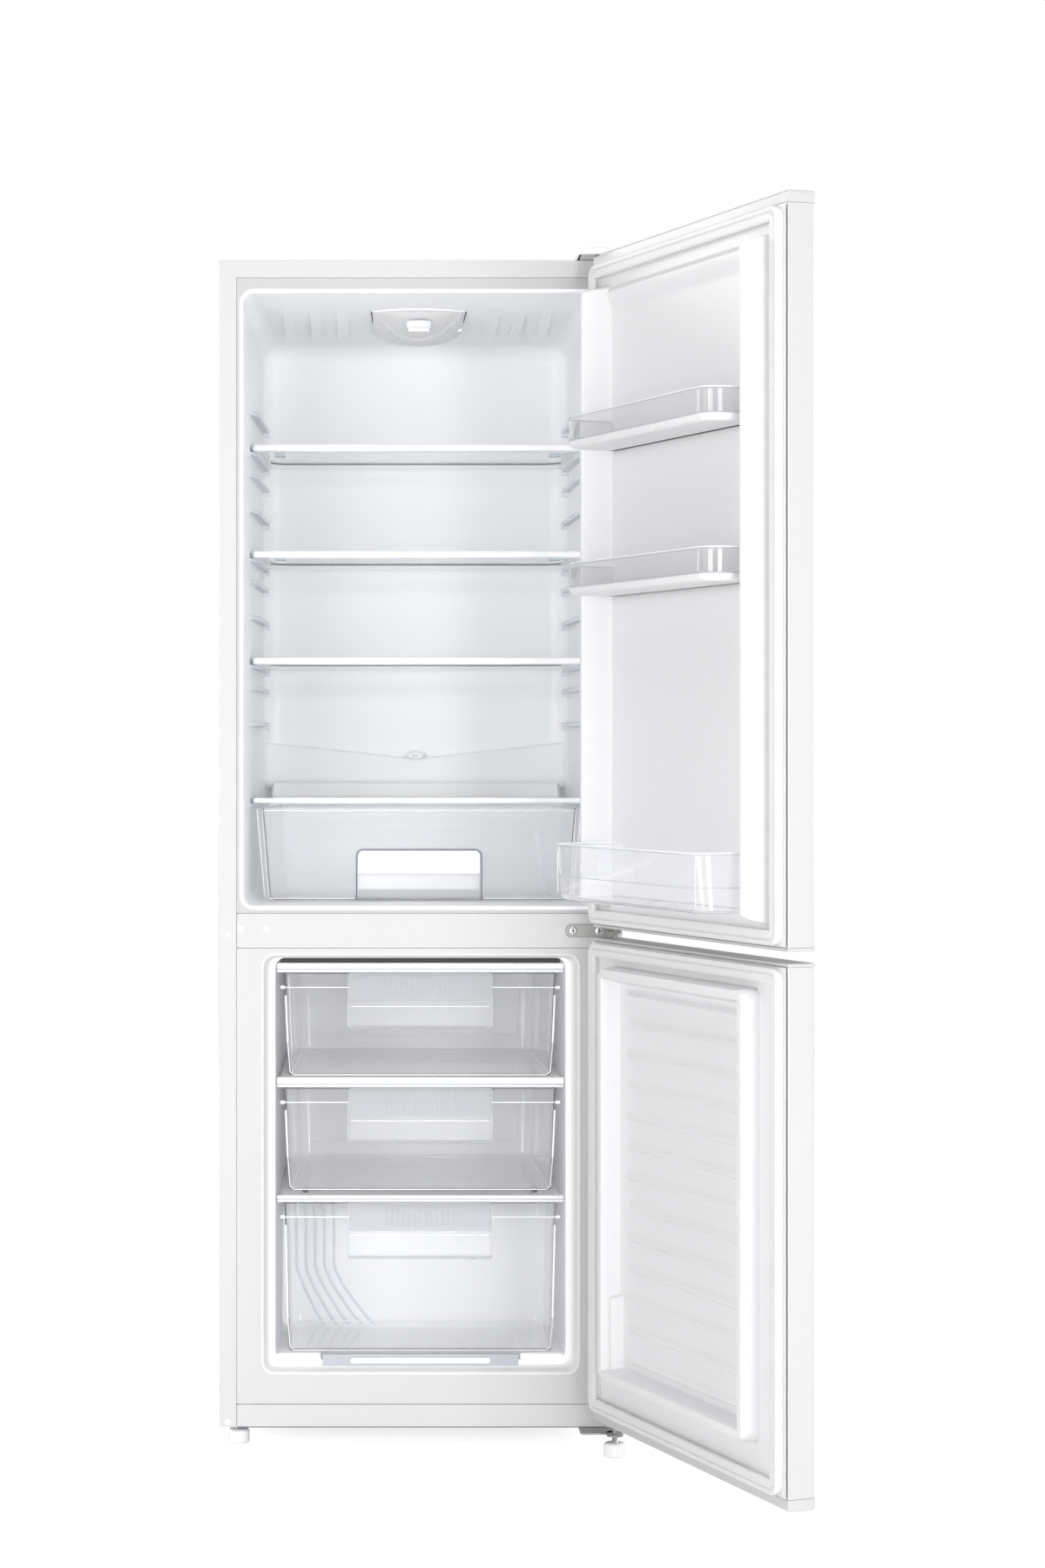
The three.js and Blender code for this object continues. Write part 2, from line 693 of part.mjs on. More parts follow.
// The tube's whole run: down the slanting bore, round a bend and straight down.
function drainRun(radius, low, from) {
  const { start, end } = outletPath();
  const along = (t) => start.map((v, i) => v + (end[i] - v) * t);
  const bendLow = outletZ - drainFall - drainBend;
  const points = [along(from), along(0.7), [0, drainPlace, bendLow]];
  for (const share of [0.1, 0.4, 0.7, 1]) points.push([0, drainPlace, bendLow + (low - bendLow) * share]);
  return tube(points, radius, 24, 12);
}

function drainTube() {
  const outer = drainRadius - gap;
  return drainRun(outer, drainLow, 0.5).subtract(drainRun(outer - drainWall, drainLow - 1, 0.4));
}

// A flat ribbon of one width along a list of points in a plane.
function ribbon(points, width) {
  const sides = [1, -1].map((hand) => points.map(([u, v], i) => {
    const before = points[Math.max(i - 1, 0)];
    const after = points[Math.min(i + 1, points.length - 1)];
    const du = after[0] - before[0];
    const dv = after[1] - before[1];
    const reach = (hand * width) / 2 / Math.hypot(du, dv);
    return [u - dv * reach, v + du * reach];
  }));
  return polygon([...sides[0], ...sides[1].reverse()]);
}

// Zigzag tube on two upright straps, with its lower end led down into the bay.
function condenser() {
  const near = panelFront + sheet + condenserStandoff;
  const bendRadius = condenserPitch / 2;
  const reach = condenserHalfWidth - bendRadius;
  const points = [];
  for (let run = 0; run < condenserRuns; run++) {
    const z = condenserBase + run * condenserPitch;
    const side = run % 2 ? -1 : 1;
    points.push([-side * reach, z]);
    points.push([side * reach, z]);
    if (run === condenserRuns - 1) break;
    for (let i = 1; i < 6; i++) {
      const a = (Math.PI * i) / 6;
      points.push([side * (reach + bendRadius * Math.sin(a)), z + bendRadius * (1 - Math.cos(a))]);
    }
  }
  const coil = prismY(ribbon(points, condenserTube), near, near + condenserTube);
  const top = condenserBase + (condenserRuns - 1) * condenserPitch + 20;
  const straps = [-1, 1].map((side) => {
    const x = side * (reach - 30);
    const bar = block(x - strapWidth / 2, x + strapWidth / 2, near - 2, near + 1,
      condenserBase - 20, top);
    const lugs = [condenserBase - 10, top - 20].map((z) => block(
      x - strapWidth / 2, x + strapWidth / 2, panelFront + sheet + gap, near, z, z + 14));
    return join(bar, ...lugs);
  });
  const tail = block(-reach, -reach + condenserTube, near, near + condenserTube,
    bayTop - condenserTail, condenserBase + condenserTube / 2);
  const drier = post(-reach + condenserTube / 2, near + condenserTube / 2,
    bayTop - drierDrop - drierLength, bayTop - drierDrop, drierRadius, 12);
  return join(coil, tail, drier, ...straps);
}

addPiece(cabinet, "compressor", compressor(), materials.blackPaint);
addPiece(cabinet, "relay_box", relayBox(), materials.blackPlastic);
addPiece(cabinet, "drip_tray", dripTray(), materials.blackPlastic);
addPiece(cabinet, "drain_tube", drainTube(), materials.whitePlastic);
addPiece(cabinet, "condenser", condenser(), materials.blackPaint);

// ---------------------------------------------------------------- hinges and feet
function topHinge() {
  const plate = prismZ(roundedRect(
    [hinge[0] - 45, halfWidth - 7, -hingePlateReach + 4, 44], 8), topZ + gap, topZ + gap + plateThickness);
  return join(plate, post(...hinge, topZ - pinLength, topZ + gap + 1, pinRadius));
}

function topHingeCover() {
  const outline = [hinge[0] - 50, halfWidth - 1, -hingePlateReach - 1, 50];
  const top = topZ + hingeCoverRise;
  const outer = loftZ(outline, grow(outline, -2), topZ + gap, top, 10);
  const inner = loftZ(grow(outline, -coverWall), grow(outline, -coverWall - 2),
    topZ - 1, top - coverWall, 8);
  return outer.subtract(inner);
}

const midPlateLow = midGap - midPlateHeight / 2;
const tongueLow = midGap - plateThickness / 2;

function midHinge() {
  const end = midPlateHeight / 2 - 0.5;
  const plate = prismY(roundedRect(
    [midPlateLeft, hinge[0] + 6, midPlateLow, midPlateLow + midPlateHeight], end),
  -plateThickness - gap, -gap);
  const tongue = prismZ(roundedRect([hinge[0] - 10, hinge[0] + 10, -hingePlateReach + 4, -gap], 6),
    tongueLow, tongueLow + plateThickness);
  const pin = post(...hinge, lowerDoorTop - pinLength, upperDoorBottom + pinLength, pinRadius);
  const holes = screwPlaces.map((x) => rodY(x, midGap, -10, 5, screwRadius / 2 + gap, 12));
  return join(plate, tongue, pin).subtract(join(...holes));
}

function hingeScrew(x) {
  const face = -plateThickness - gap;
  const head = rodY(x, midGap, face - screwHead - gap, face - gap, screwRadius, 14);
  const slot = (w, h) => block(x - w, x + w, face - screwHead - 1, face - screwHead + 0.8,
    midGap - h, midGap + h);
  const shank = rodY(x, midGap, face - screwHead, -gap, screwRadius / 2, 12);
  return join(head, shank).subtract(join(slot(0.7, 3.4), slot(3.4, 0.7)));
}

function bottomHinge() {
  const plate = prismZ(roundedRect([hinge[0] - 46, halfWidth - 4, -hingePlateReach + 4, 70], 8),
    baseZ - gap - plateThickness, baseZ - gap);
  return join(plate, post(...hinge, baseZ - gap - 1, doorBase + pinLength, pinRadius));
}

function levellingFoot(x, y, top) {
  const pad = spun([
    [0, 0], [footRadius - 2, 0], [footRadius, 3], [footRadius, footPadHeight - 3],
    [footRadius - 3, footPadHeight], [0, footPadHeight],
  ], x, y, 20);
  return join(pad, post(x, y, footPadHeight - 2, top, studRadius, 12));
}

addPiece(cabinet, "top_hinge_bracket", topHinge(), materials.zincSteel);
addPiece(cabinet, "top_hinge_cover", topHingeCover(), materials.whitePlastic);
addPiece(cabinet, "mid_hinge_bracket", midHinge(), materials.zincSteel);
screwPlaces.forEach((x, i) =>
  addPiece(cabinet, `mid_hinge_screw_${i + 1}`, hingeScrew(x), materials.screwSteel));
addPiece(cabinet, "bottom_hinge_bracket", bottomHinge(), materials.zincSteel);
addPiece(cabinet, "foot_left", levellingFoot(...leftFoot, baseZ - gap), materials.whitePlastic);
addPiece(cabinet, "foot_right", levellingFoot(...hinge, baseZ - 2 * gap - plateThickness),
  materials.whitePlastic);

// ---------------------------------------------------------------- lamp, dial and switch
function ceilingAt(y) {
  return openingTop - (ceilingDraft * (y + sheet)) / (fridgeCavityDepth + sheet);
}

const lampTop = ceilingAt(lampBack) - gap;
const lampLow = lampTop - lampHeight;

// Half-moon outline in X and Y: straight sides and back, bowed front.
function lampOutline(by) {
  const half = lampHalfWidth + by;
  const points = [[half, lampBack + by], [-half, lampBack + by]];
  for (let i = 0; i <= 8; i++) {
    const u = -1 + i / 4;
    points.push([u * half, lampFront + lampBulge * u * u - by]);
  }
  return polygon(points);
}

function lampHousing() {
  const front = ceilingAt(lampFront);
  const roof = prismX(polygon([
    [lampFront - 5, lampLow], [lampBack + 5, lampLow],
    [lampBack + 5, ceilingAt(lampBack + 5) - gap], [lampFront - 5, ceilingAt(lampFront - 5) - gap],
  ]), -lampHalfWidth, lampHalfWidth);
  const hollow = prismZ(lampOutline(-lampWall), lampLow - 1, lampTop - lampWall);
  const dialFloor = prismZ(roundedRect(
    [-dialRadius - 8, dialRadius + 8, lampFront + lampWall, dialPlace + dialRadius + 4], 6),
  lampLow, lampLow + 3);
  return prismZ(lampOutline(0), lampLow, front).intersect(roof).subtract(hollow)
    .add(dialFloor.intersect(prismZ(lampOutline(-lampWall / 2), lampLow, front)))
    .subtract(post(0, dialPlace, lampLow - 1, lampLow + 4, 3.2, 12));
}

const lensFront = dialPlace + dialRadius + 6;

function lampLens() {
  const y = (lensFront + lampBack) / 2;
  const bowl = (by) => solid(new THREE.SphereGeometry(1, 20, 12)
    .scale(lampHalfWidth - by, (lampBack - lensFront) / 2 - by, lampDrop - by)
    .translate(0, y, lampLow - gap));
  const below = block(-halfWidth, halfWidth, 0, cabinetDepth, lampLow - lampDrop - 5, lampLow - gap);
  return bowl(0).intersect(below).subtract(bowl(lampWall));
}

function lampBulb() {
  const y = lensFront + 36;
  const z = lampLow + 1.5;
  const glass = solid(new THREE.SphereGeometry(bulbRadius, 12, 8).scale(1.5, 1, 1).translate(0, y, z));
  const socket = rodX(y, z, bulbRadius, lampHalfWidth - lampWall - gap, bulbRadius * 0.6, 12);
  return glass.add(socket.intersect(block(0, halfWidth, 0, cabinetDepth, lampLow, lampTop)));
}

function thermostatDial() {
  const top = lampLow - gap;
  const disc = post(0, dialPlace, top - dialHeight, top, dialRadius - 2, 24, dialRadius);
  const grip = block(-dialRadius + 3, dialRadius - 3, dialPlace - 2.5, dialPlace + 2.5,
    top - dialHeight - 5, top - 1);
  return join(disc, grip, post(0, dialPlace, top - 1, lampLow + 3, 3, 12));
}

function doorSwitch() {
  const z = openingTop - switchDrop;
  const wall = openingHalf - (fridgeSideDraft * (switchPlace + sheet)) / (fridgeCavityDepth + sheet);
  const button = rodX(switchPlace, z, wall - switchReach, wall + linerWall + 6, switchRadius, 12);
  return join(button, rodX(switchPlace, z, wall + linerWall + 1, wall + linerWall + 4,
    switchRadius + 2, 12));
}

addPiece(cabinet, "lamp_housing", lampHousing(), materials.whitePlastic);
addPiece(cabinet, "lamp_lens", lampLens(), materials.frosted);
addPiece(cabinet, "lamp_bulb", lampBulb(), materials.bulbGlass);
addPiece(cabinet, "thermostat_dial", thermostatDial(), materials.whitePlastic);
addPiece(cabinet, "door_switch_button", doorSwitch(), materials.whitePlastic);

// ---------------------------------------------------------------- shelves and crisper
// A slab across the compartment, narrowed with the walls.
function shelfSlab(front, back, low, high, inset) {
  return fridgeSpace(-inset).intersect(block(-halfWidth, halfWidth, front, back, low, high));
}

function shelfGlass(top) {
  return shelfSlab(shelfFront + shelfTrimDepth / 2, shelfBack - glassLap - gap,
    top - glassThickness, top, shelfClearance + glassLap + gap);
}

function shelfFrame(top, height) {
  const low = top - height;
  const whole = shelfSlab(shelfFront, shelfBack, low, top, shelfClearance);
  const seat = shelfSlab(shelfFront + shelfTrimDepth / 2 - gap, shelfBack - glassLap,
    top - glassThickness - gap, top + 1, shelfClearance + glassLap);
  const middle = shelfSlab(shelfFront + shelfTrimDepth, shelfBack - shelfTrimDepth,
    low - 1, top, shelfClearance + shelfRail);
  return whole.subtract(seat).subtract(middle);
}

shelfTops.forEach((top, i) => {
  addPiece(cabinet, `shelf_${i + 1}_glass`, shelfGlass(top), materials.shelfGlass);
  addPiece(cabinet, `shelf_${i + 1}_frame`, shelfFrame(top, shelfTrimHeight),
    materials.whitePlastic);
});

function coverFrame() {
  const half = openingHalf - fridgeSideDraft - coverLedgeInset;
  const ledge = block(-half, half, shelfBack - coverLedgeDepth, shelfBack - glassLap,
    coverTop - glassThickness, coverTop + coverLedgeRise);
  return shelfFrame(coverTop, coverTrimHeight).add(ledge);
}

const coverGlass = shelfGlass(coverTop).subtract(
  block(-halfWidth, halfWidth, shelfBack - coverLedgeDepth - gap, cabinetDepth, 0, topZ));
addPiece(cabinet, "crisper_cover_glass", coverGlass, materials.shelfGlass);
addPiece(cabinet, "crisper_cover_frame", coverFrame(), materials.whitePlastic);

// An open bin: outlines in X and Y at the floor and the rim.
function bin(low, high, z0, z1, radius, pinch) {
  const outer = loftZ(low, high, z0, z1, radius, pinch);
  const inner = loftZ(grow(low, -binWall), grow(high, -binWall), z0 + binWall, z1 + 1,
    radius - binWall, pinch);
  return outer.subtract(inner);
}

const crisperLow = openingBottom + crisperRise;
const crisperTop = coverTop - crisperTopDrop;
const gripRoom = prismY(roundedRect(
  [-gripHalfWidth, gripHalfWidth, crisperLow - 20, crisperLow + gripHeight], 8),
crisperFront - 1, crisperFront + gripDepth);

function crisperBin() {
  const half = crisperHalfWidth - crisperInset;
  const rim = [-half, half, crisperFront, crisperBack];
  const floor = [
    -half + crisperTaper, half - crisperTaper, crisperFront, crisperBack - crisperBackTaper,
  ];
  const panel = prismY(polygon([
    [-crisperHalfWidth + crisperTaper, crisperLow], [crisperHalfWidth - crisperTaper, crisperLow],
    [crisperHalfWidth, crisperTop], [-crisperHalfWidth, crisperTop],
  ]), crisperFront, crisperFront + crisperPanel);
  const pocket = prismY(roundedRect(
    [-gripHalfWidth - binWall, gripHalfWidth + binWall, crisperLow, crisperLow + gripHeight + binWall], 8),
  crisperFront + 1, crisperFront + gripDepth + binWall);
  return join(bin(floor, rim, crisperLow, crisperTop, crisperRadius, crisperPinch), panel, pocket)
    .subtract(gripRoom);
}

function crisperHandle() {
  const top = crisperLow + gripHeight;
  const bar = prismY(roundedRect(
    [-gripHalfWidth + gap, gripHalfWidth - gap, top - gripBarHeight, top - gap], 7),
  crisperFront, crisperFront + 4);
  const back = block(-gripHalfWidth + 9, gripHalfWidth - 9,
    crisperFront + 2, crisperFront + gripDepth - gap, top - 12, top - 9);
  return join(bar, back);
}

addPiece(cabinet, "crisper_bin", crisperBin(), materials.clearPlastic);
addPiece(cabinet, "crisper_handle", crisperHandle(), materials.whitePlastic);

// ---------------------------------------------------------------- freezer shelves and drawers
const drawerLevels = [];
const evaporatorLevels = [];
let level = freezerFloor + padHeight + gap;
for (let i = drawerHeights.length - 1; i >= 0; i--) {
  drawerLevels[i] = level;
  level += drawerHeights[i] + gap;
  evaporatorLevels[i] = level;
  level += evaporatorTrims[i] + gap + (i > 0 ? runnerHeights[i - 1] : 0);
}

function evaporatorShelf(i) {
  const low = evaporatorLevels[i];
  const high = low + evaporatorTrims[i];
  const plate = block(-halfWidth, halfWidth, evaporatorFront, evaporatorBack,
    high - evaporatorPlate, high);
  const trim = block(-halfWidth, halfWidth, evaporatorFront, evaporatorFront + evaporatorTrimDepth,
    low, high);
  return join(plate, trim).intersect(freezerSpace(-gap));
}

function freezerDrawer(i) {
  const z0 = drawerLevels[i];
  const z1 = z0 + drawerHeights[i];
  const back = i === drawerHeights.length - 1 ? lowDrawerBack : drawerBack;
  const half = drawerHalfWidth;
  const rim = [-half, half, drawerFront, back];
  const floor = [-half + drawerTaper, half - drawerTaper, drawerFront, back - drawerBackTaper];
  const body = bin(floor, rim, z0, z1 - 2, drawerRadius, back === lowDrawerBack ? 0 : drawerPinch);
  const front = drawerFront - handleReach;
  const side = polygon([
    [front, z1 + 1], [front, z1 - handleHeight], [front + binWall, z1 - handleHeight],
    [front + binWall, z1 - 4 - binWall], [drawerFront + 1, z1 - 4 - binWall],
    [drawerFront + 1, z1 - 4], [front + binWall, z1 - 4], [front + binWall, z1 + 1],
  ]);
  const strip = prismX(side, -handleHalfWidth, handleHalfWidth);
  const low = z1 - handleHeight - fingerHeight;
  const recess = block(-handleHalfWidth, handleHalfWidth, drawerFront - 1, drawerFront + fingerDepth,
    low, z1 - 4 - binWall);
  const pocket = block(-handleHalfWidth - binWall, handleHalfWidth + binWall, drawerFront + 0.5,
    drawerFront + fingerDepth + binWall, low - binWall, z1 - 4);
  const pieces = [body, pocket];
  if (runnerHeights[i] > 0) {
    for (const side of [-1, 1]) {
      const x = side * (half - drawerTaper - 22);
      pieces.push(block(x - runnerWidth / 2, x + runnerWidth / 2, drawerFront + 20,
        back - drawerBackTaper - 20, z0 - runnerHeights[i], z0 + 1));
    }
  }
  return join(...pieces).subtract(recess).add(strip);
}

drawerHeights.forEach((_, i) => {
  addPiece(cabinet, `evaporator_shelf_${i + 1}`, evaporatorShelf(i), materials.whitePlastic);
  addPiece(cabinet, `freezer_drawer_${i + 1}`, freezerDrawer(i), materials.clearPlastic);
});

// ---------------------------------------------------------------- doors, drawn closed
// A group that turns about the hinge axis and holds pieces drawn in the cabinet's frame.
function doorGroup() {
  const turning = new THREE.Group();
  turning.position.set(...hinge, 0);
  turning.rotation.z = THREE.MathUtils.degToRad(openAngle);
  const closed = new THREE.Group();
  closed.position.set(-hinge[0], -hinge[1], 0);
  turning.add(closed);
  cabinet.add(turning);
  return closed;
}

// Pan of sheet steel: front, sides and a narrow return at the back.
function doorSkin(low, high) {
  const whole = block(-halfWidth, halfWidth, doorFront, doorBack, low, high);
  const inside = block(-halfWidth + sheet, halfWidth - sheet, doorFront + sheet, doorBack - sheet,
    low - 1, high + 1);
  const back = block(-halfWidth + doorSkinReturn, halfWidth - doorSkinReturn, doorBack - sheet - 1,
    doorBack + 1, low - 1, high + 1);
  return whole.subtract(inside).subtract(back);
}

// An end cap from one height to another, with a bush for the pin that reaches into the foam.
function doorCap(low, high, bushEnd) {
  const outline = [-halfWidth - capProud, halfWidth + capProud, doorFront - capProud, doorBack + gap];
  const ends = [low, high, bushEnd];
  const bush = post(...hinge, Math.min(...ends), Math.max(...ends), bushRadius);
  const bore = post(...hinge, Math.min(...ends) - 1, Math.max(...ends) + 1, pinRadius + pinClearance);
  return prismZ(roundedRect(outline, capRadius), low, high).add(bush).subtract(bore);
}

function doorGasket(low, high) {
  const half = halfWidth - gasketInset;
  const outer = [-half, half, low, high];
  const back = linerFace + gap;
  const ring = prismY(roundedRect(outer, 6), back, -1.5 * gap)
    .subtract(prismY(roundedRect(grow(outer, -gasketWidth), 4), back - 1, 1));
  const groove = prismY(roundedRect(grow(outer, 1), 6), back + 3, back + 6)
    .subtract(prismY(roundedRect(grow(outer, -2.5), 4), back + 2, back + 7));
  return ring.subtract(groove);
}

// All that lies under a liner's surface: a slab, a raised frame with sloping walls on it and a
// well inside the frame. The surface is set down by a distance.
function underLiner(slab, form, by) {
  const { outline, height, draft, wellDraft, drop, endHeight } = form;
  const crest = linerFace + height - by;
  const inner = inset(outline, form.width, form.endWidth);
  const raised = loftY(grow(outline, -by), grow(outline, -by - draft), linerFace - 6, crest, 10);
  const foot = inset(inner, wellDraft - by, draft - by);
  const well = loftY(foot, grow(inner, by), linerFace - drop - by, crest + 1, 6);
  const ends = block(inner[0] - by, inner[1] + by, linerFace + endHeight - by, crest + 1, 0, topZ);
  return slab.add(raised).subtract(well).subtract(ends);
}

function doorLiner(low, high, form) {
  const half = halfWidth - gasketInset + 3;
  const above = block(-half, half, doorFront / 2, linerFace, low, high);
  const below = block(-halfWidth, halfWidth, doorFront, doorBack + gap, 0, 2 * topZ);
  return underLiner(above, form, 0).subtract(underLiner(below, form, linerWall));
}

function doorFoam(low, high, form) {
  const half = halfWidth - sheet - gap;
  const core = block(-half, half, doorFront + sheet + gap, doorBack - sheet - gap, low, high);
  const bushRoom = post(...hinge, 0, 2 * topZ, bushRadius + gap);
  const middle = block(-halfWidth, halfWidth, doorFront, doorBack, low + bushLength, high - bushLength);
  return underLiner(core, form, linerWall + gap).subtract(bushRoom.subtract(middle));
}

const upperForm = {
  outline: [
    -openingHalf + upperDykeClearance, openingHalf - upperDykeClearance,
    openingBottom + upperDykeEnd, openingTop - upperDykeEnd,
  ],
  height: upperDykeHeight,
  width: upperDykeWidth,
  endWidth: upperEndWidth,
  endHeight: upperEndRise,
  draft: upperDykeDraft,
  wellDraft: upperWellDraft,
  drop: upperPanelDrop,
};
const lowerForm = {
  outline: [
    -mouthHalf + lowerDykeClearance, mouthHalf - lowerDykeClearance,
    mouthBottom + 2 * lowerDykeClearance, mouthTop - lowerDykeClearance,
  ],
  height: lowerDykeHeight,
  width: lowerDykeWidth,
  endWidth: lowerDykeWidth,
  endHeight: lowerDykeHeight,
  draft: lowerDykeDraft,
  wellDraft: lowerWellDraft,
  drop: lowerPanelDrop,
};

const rackHalf = upperForm.outline[1] - upperDykeWidth - upperWellDraft - rackEndGap;

function rackBosses(tops) {
  const bosses = [];
  for (const top of tops) {
    for (const side of [-1, 1]) {
      const inner = side * (rackHalf - bossDepth);
      const outer = side * (rackHalf + rackEndGap + upperWellDraft);
      bosses.push(block(Math.min(inner, outer), Math.max(inner, outer),
        linerFace + upperDykeHeight - bossLength - 2, linerFace + upperDykeHeight - 6,
        top - bossHeight, top));
    }
  }
  const wall = block(-halfWidth, halfWidth, doorFront, doorBack, 0, 2 * topZ);
  return join(...bosses).subtract(underLiner(wall, upperForm, linerWall / 2));
}

function panelRibShapes() {
  const inner = mouthHalf - lowerDykeClearance - lowerDykeWidth - 12;
  const middle = (lowerForm.outline[2] + lowerForm.outline[3]) / 2;
  const ribs = [];
  for (let i = 0; i < panelRibs; i++) {
    const z = middle + (i - (panelRibs - 1) / 2) * panelRibPitch;
    ribs.push(prismX(polygon([
      [linerFace - 1, z - 5], [linerFace, z - 5], [linerFace + panelRibHeight, z],
      [linerFace, z + 5], [linerFace - 1, z + 5],
    ]), -inner, inner));
  }
  return join(...ribs);
}

function addDoor(name, low, high, margins, form, extra) {
  const [lowMargin, highMargin] = margins;
  const door = doorGroup();
  const skinLow = low + lowMargin - 2;
  const skinHigh = high - highMargin + 2;
  addPiece(door, `${name}_skin`, doorSkin(skinLow, skinHigh), materials.enamel);
  addPiece(door, `${name}_bottom_cap`, doorCap(low, skinLow - gap, skinLow + bushLength - gap),
    materials.whitePlastic);
  addPiece(door, `${name}_top_cap`, doorCap(skinHigh + gap, high, skinHigh - bushLength + gap),
    materials.whitePlastic);
  addPiece(door, `${name}_foam`, doorFoam(skinLow, skinHigh, form), materials.foam);
  const face = doorLiner(low + lowMargin - 1, high - highMargin + 1, form);
  addPiece(door, `${name}_liner`, face.add(extra), materials.linerPlastic);
  addPiece(door, `${name}_gasket`, doorGasket(low + lowMargin, high - highMargin), materials.seal);
  return door;
}

const rackRests = [...rackFloors, bottleFloor].map((z) => z - gap);
const upperDoor = addDoor("upper_door", upperDoorBottom, topZ, [shortMargin, tallMargin],
  upperForm, rackBosses(rackRests));
addDoor("lower_door", doorBase, lowerDoorTop, [tallMargin, shortMargin], lowerForm, panelRibShapes());

// ---------------------------------------------------------------- door racks
// Outline in X and Y: square corners at the door, round ones in front.
function rackOutline(reach, by) {
  const back = linerFace - upperPanelDrop + gap + by;
  const half = rackHalf - by;
  const radius = rackRadius - by;
  const shape = new THREE.Shape();
  shape.moveTo(-half, back);
  shape.lineTo(half, back);
  shape.absarc(half - radius, reach - by - radius, radius, 0, Math.PI / 2);
  shape.absarc(-half + radius, reach - by - radius, radius, Math.PI / 2, Math.PI);
  return shape;
}

function rackBand(low) {
  const whole = prismZ(rackOutline(upperRackReach, 0), low, low + bandHeight);
  const inside = prismZ(rackOutline(upperRackReach, rackWall), low - 1, low + bandHeight + 1);
  const back = block(-rackHalf + rackWall, rackHalf - rackWall, -gasketThickness - 20, 0, low - 1,
    low + bandHeight + 1);
  return whole.subtract(inside).subtract(back);
}

["upper", "middle"].forEach((name, i) => {
  const floor = rackFloors[i];
  const tray = prismZ(rackOutline(upperRackReach, 0), floor, floor + trayThickness);
  addPiece(upperDoor, `${name}_rack_tray`, tray, materials.whitePlastic);
  addPiece(upperDoor, `${name}_rack_band`, rackBand(floor + trayThickness + gap), materials.clearPlastic);
});

function bottleRack() {
  const top = bottleFloor + bottleRackHeight;
  const whole = prismZ(rackOutline(bottleRackReach, 0), bottleFloor, top);
  const inside = prismZ(rackOutline(bottleRackReach, rackWall), bottleFloor + rackWall, top + 1);
  const slope = prismX(polygon([
    [bottleRackReach - bottleRackTaper, bottleFloor - 1], [bottleRackReach + 1, bottleFloor - 1],
    [bottleRackReach + 1, top],
  ]), -halfWidth, halfWidth);
  const lowRim = block(-rackHalf + rackWall, rackHalf - rackWall, -gasketThickness - 20, 0,
    bottleFloor + bottleRackHeight / 2, top + 1);
  const face = prismX(polygon([
    [bottleRackReach - bottleRackTaper - rackWall, bottleFloor + rackWall],
    [bottleRackReach + 1, bottleFloor + rackWall], [bottleRackReach + 1, top + 1],
    [bottleRackReach - rackWall, top + 1],
  ]), -halfWidth, halfWidth);
  return whole.subtract(inside.subtract(face)).subtract(slope).subtract(lowRim);
}

function bottleDivider() {
  const top = bottleFloor + bottleRackHeight;
  const low = bottleFloor + dividerFoot;
  const faceTop = bottleRackReach - rackWall - 1;
  const faceLow = faceTop - bottleRackTaper * (1 - dividerFoot / bottleRackHeight);
  const lip = bottleRackReach + gap;
  return prismX(polygon([
    [dividerBack, low], [faceLow, low], [faceTop, top + gap], [lip, top + gap],
    [lip, top - dividerHook], [lip + rackWall, top - dividerHook], [lip + rackWall, top + rackWall],
    [faceTop - 3, top + dividerRise], [dividerBack + 18, top + dividerRise], [dividerBack, top - 12],
  ]), dividerPlace - dividerThickness / 2, dividerPlace + dividerThickness / 2);
}

addPiece(upperDoor, "bottle_rack", bottleRack(), materials.clearPlastic);
addPiece(upperDoor, "bottle_divider", bottleDivider(), materials.clearPlastic);

// ---------------------------------------------------------------- origin
model.updateMatrixWorld(true);
const bounds = new THREE.Box3().setFromObject(model, true);
const middle = bounds.getCenter(new THREE.Vector3());
cabinet.position.set(-middle.x, -middle.y, -bounds.min.z);

export default model;
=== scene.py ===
from math import cos, pi, radians, sin

import bpy
import numpy as np
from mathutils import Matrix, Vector


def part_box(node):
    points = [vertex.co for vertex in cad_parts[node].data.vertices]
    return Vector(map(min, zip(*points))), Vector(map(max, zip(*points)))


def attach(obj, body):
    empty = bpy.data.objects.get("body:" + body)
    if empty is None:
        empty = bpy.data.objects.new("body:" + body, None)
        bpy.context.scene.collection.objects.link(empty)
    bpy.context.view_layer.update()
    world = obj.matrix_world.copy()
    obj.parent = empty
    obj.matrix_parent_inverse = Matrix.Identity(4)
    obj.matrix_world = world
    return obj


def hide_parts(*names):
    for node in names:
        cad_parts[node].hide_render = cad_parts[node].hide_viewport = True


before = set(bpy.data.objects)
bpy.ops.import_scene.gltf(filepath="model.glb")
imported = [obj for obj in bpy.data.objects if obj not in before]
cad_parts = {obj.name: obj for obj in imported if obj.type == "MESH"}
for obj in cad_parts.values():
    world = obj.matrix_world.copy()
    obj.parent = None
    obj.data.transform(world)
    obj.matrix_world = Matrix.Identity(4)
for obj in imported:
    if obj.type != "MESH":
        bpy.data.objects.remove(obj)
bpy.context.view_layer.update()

# Pieces are drawn in millimetres: x from the middle of the cabinet, y = 0 on its front flange, z upwards.
# The doors are drawn shut, and turned to their open place when the mesh is made.
cabinet = {
    "half": 275.0, "depth": 505.0, "base": 31.0, "top": 1621.0, "flange": 24.0,
    "railLow": 683.7, "railHigh": 731.0, "kickHigh": 61.7, "railDepth": 20.0,
}
hinge = {"x": 261.65, "y": -38.5, "open": 110.6}
doorBodies = ("upper_door", "lower_door", "upper_rack", "middle_rack", "bottle_rack", "divider")
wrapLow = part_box("outer_wrap")[0]
rowShift = np.array([wrapLow.x * 1000 + cabinet["half"], wrapLow.y * 1000, 0.0])

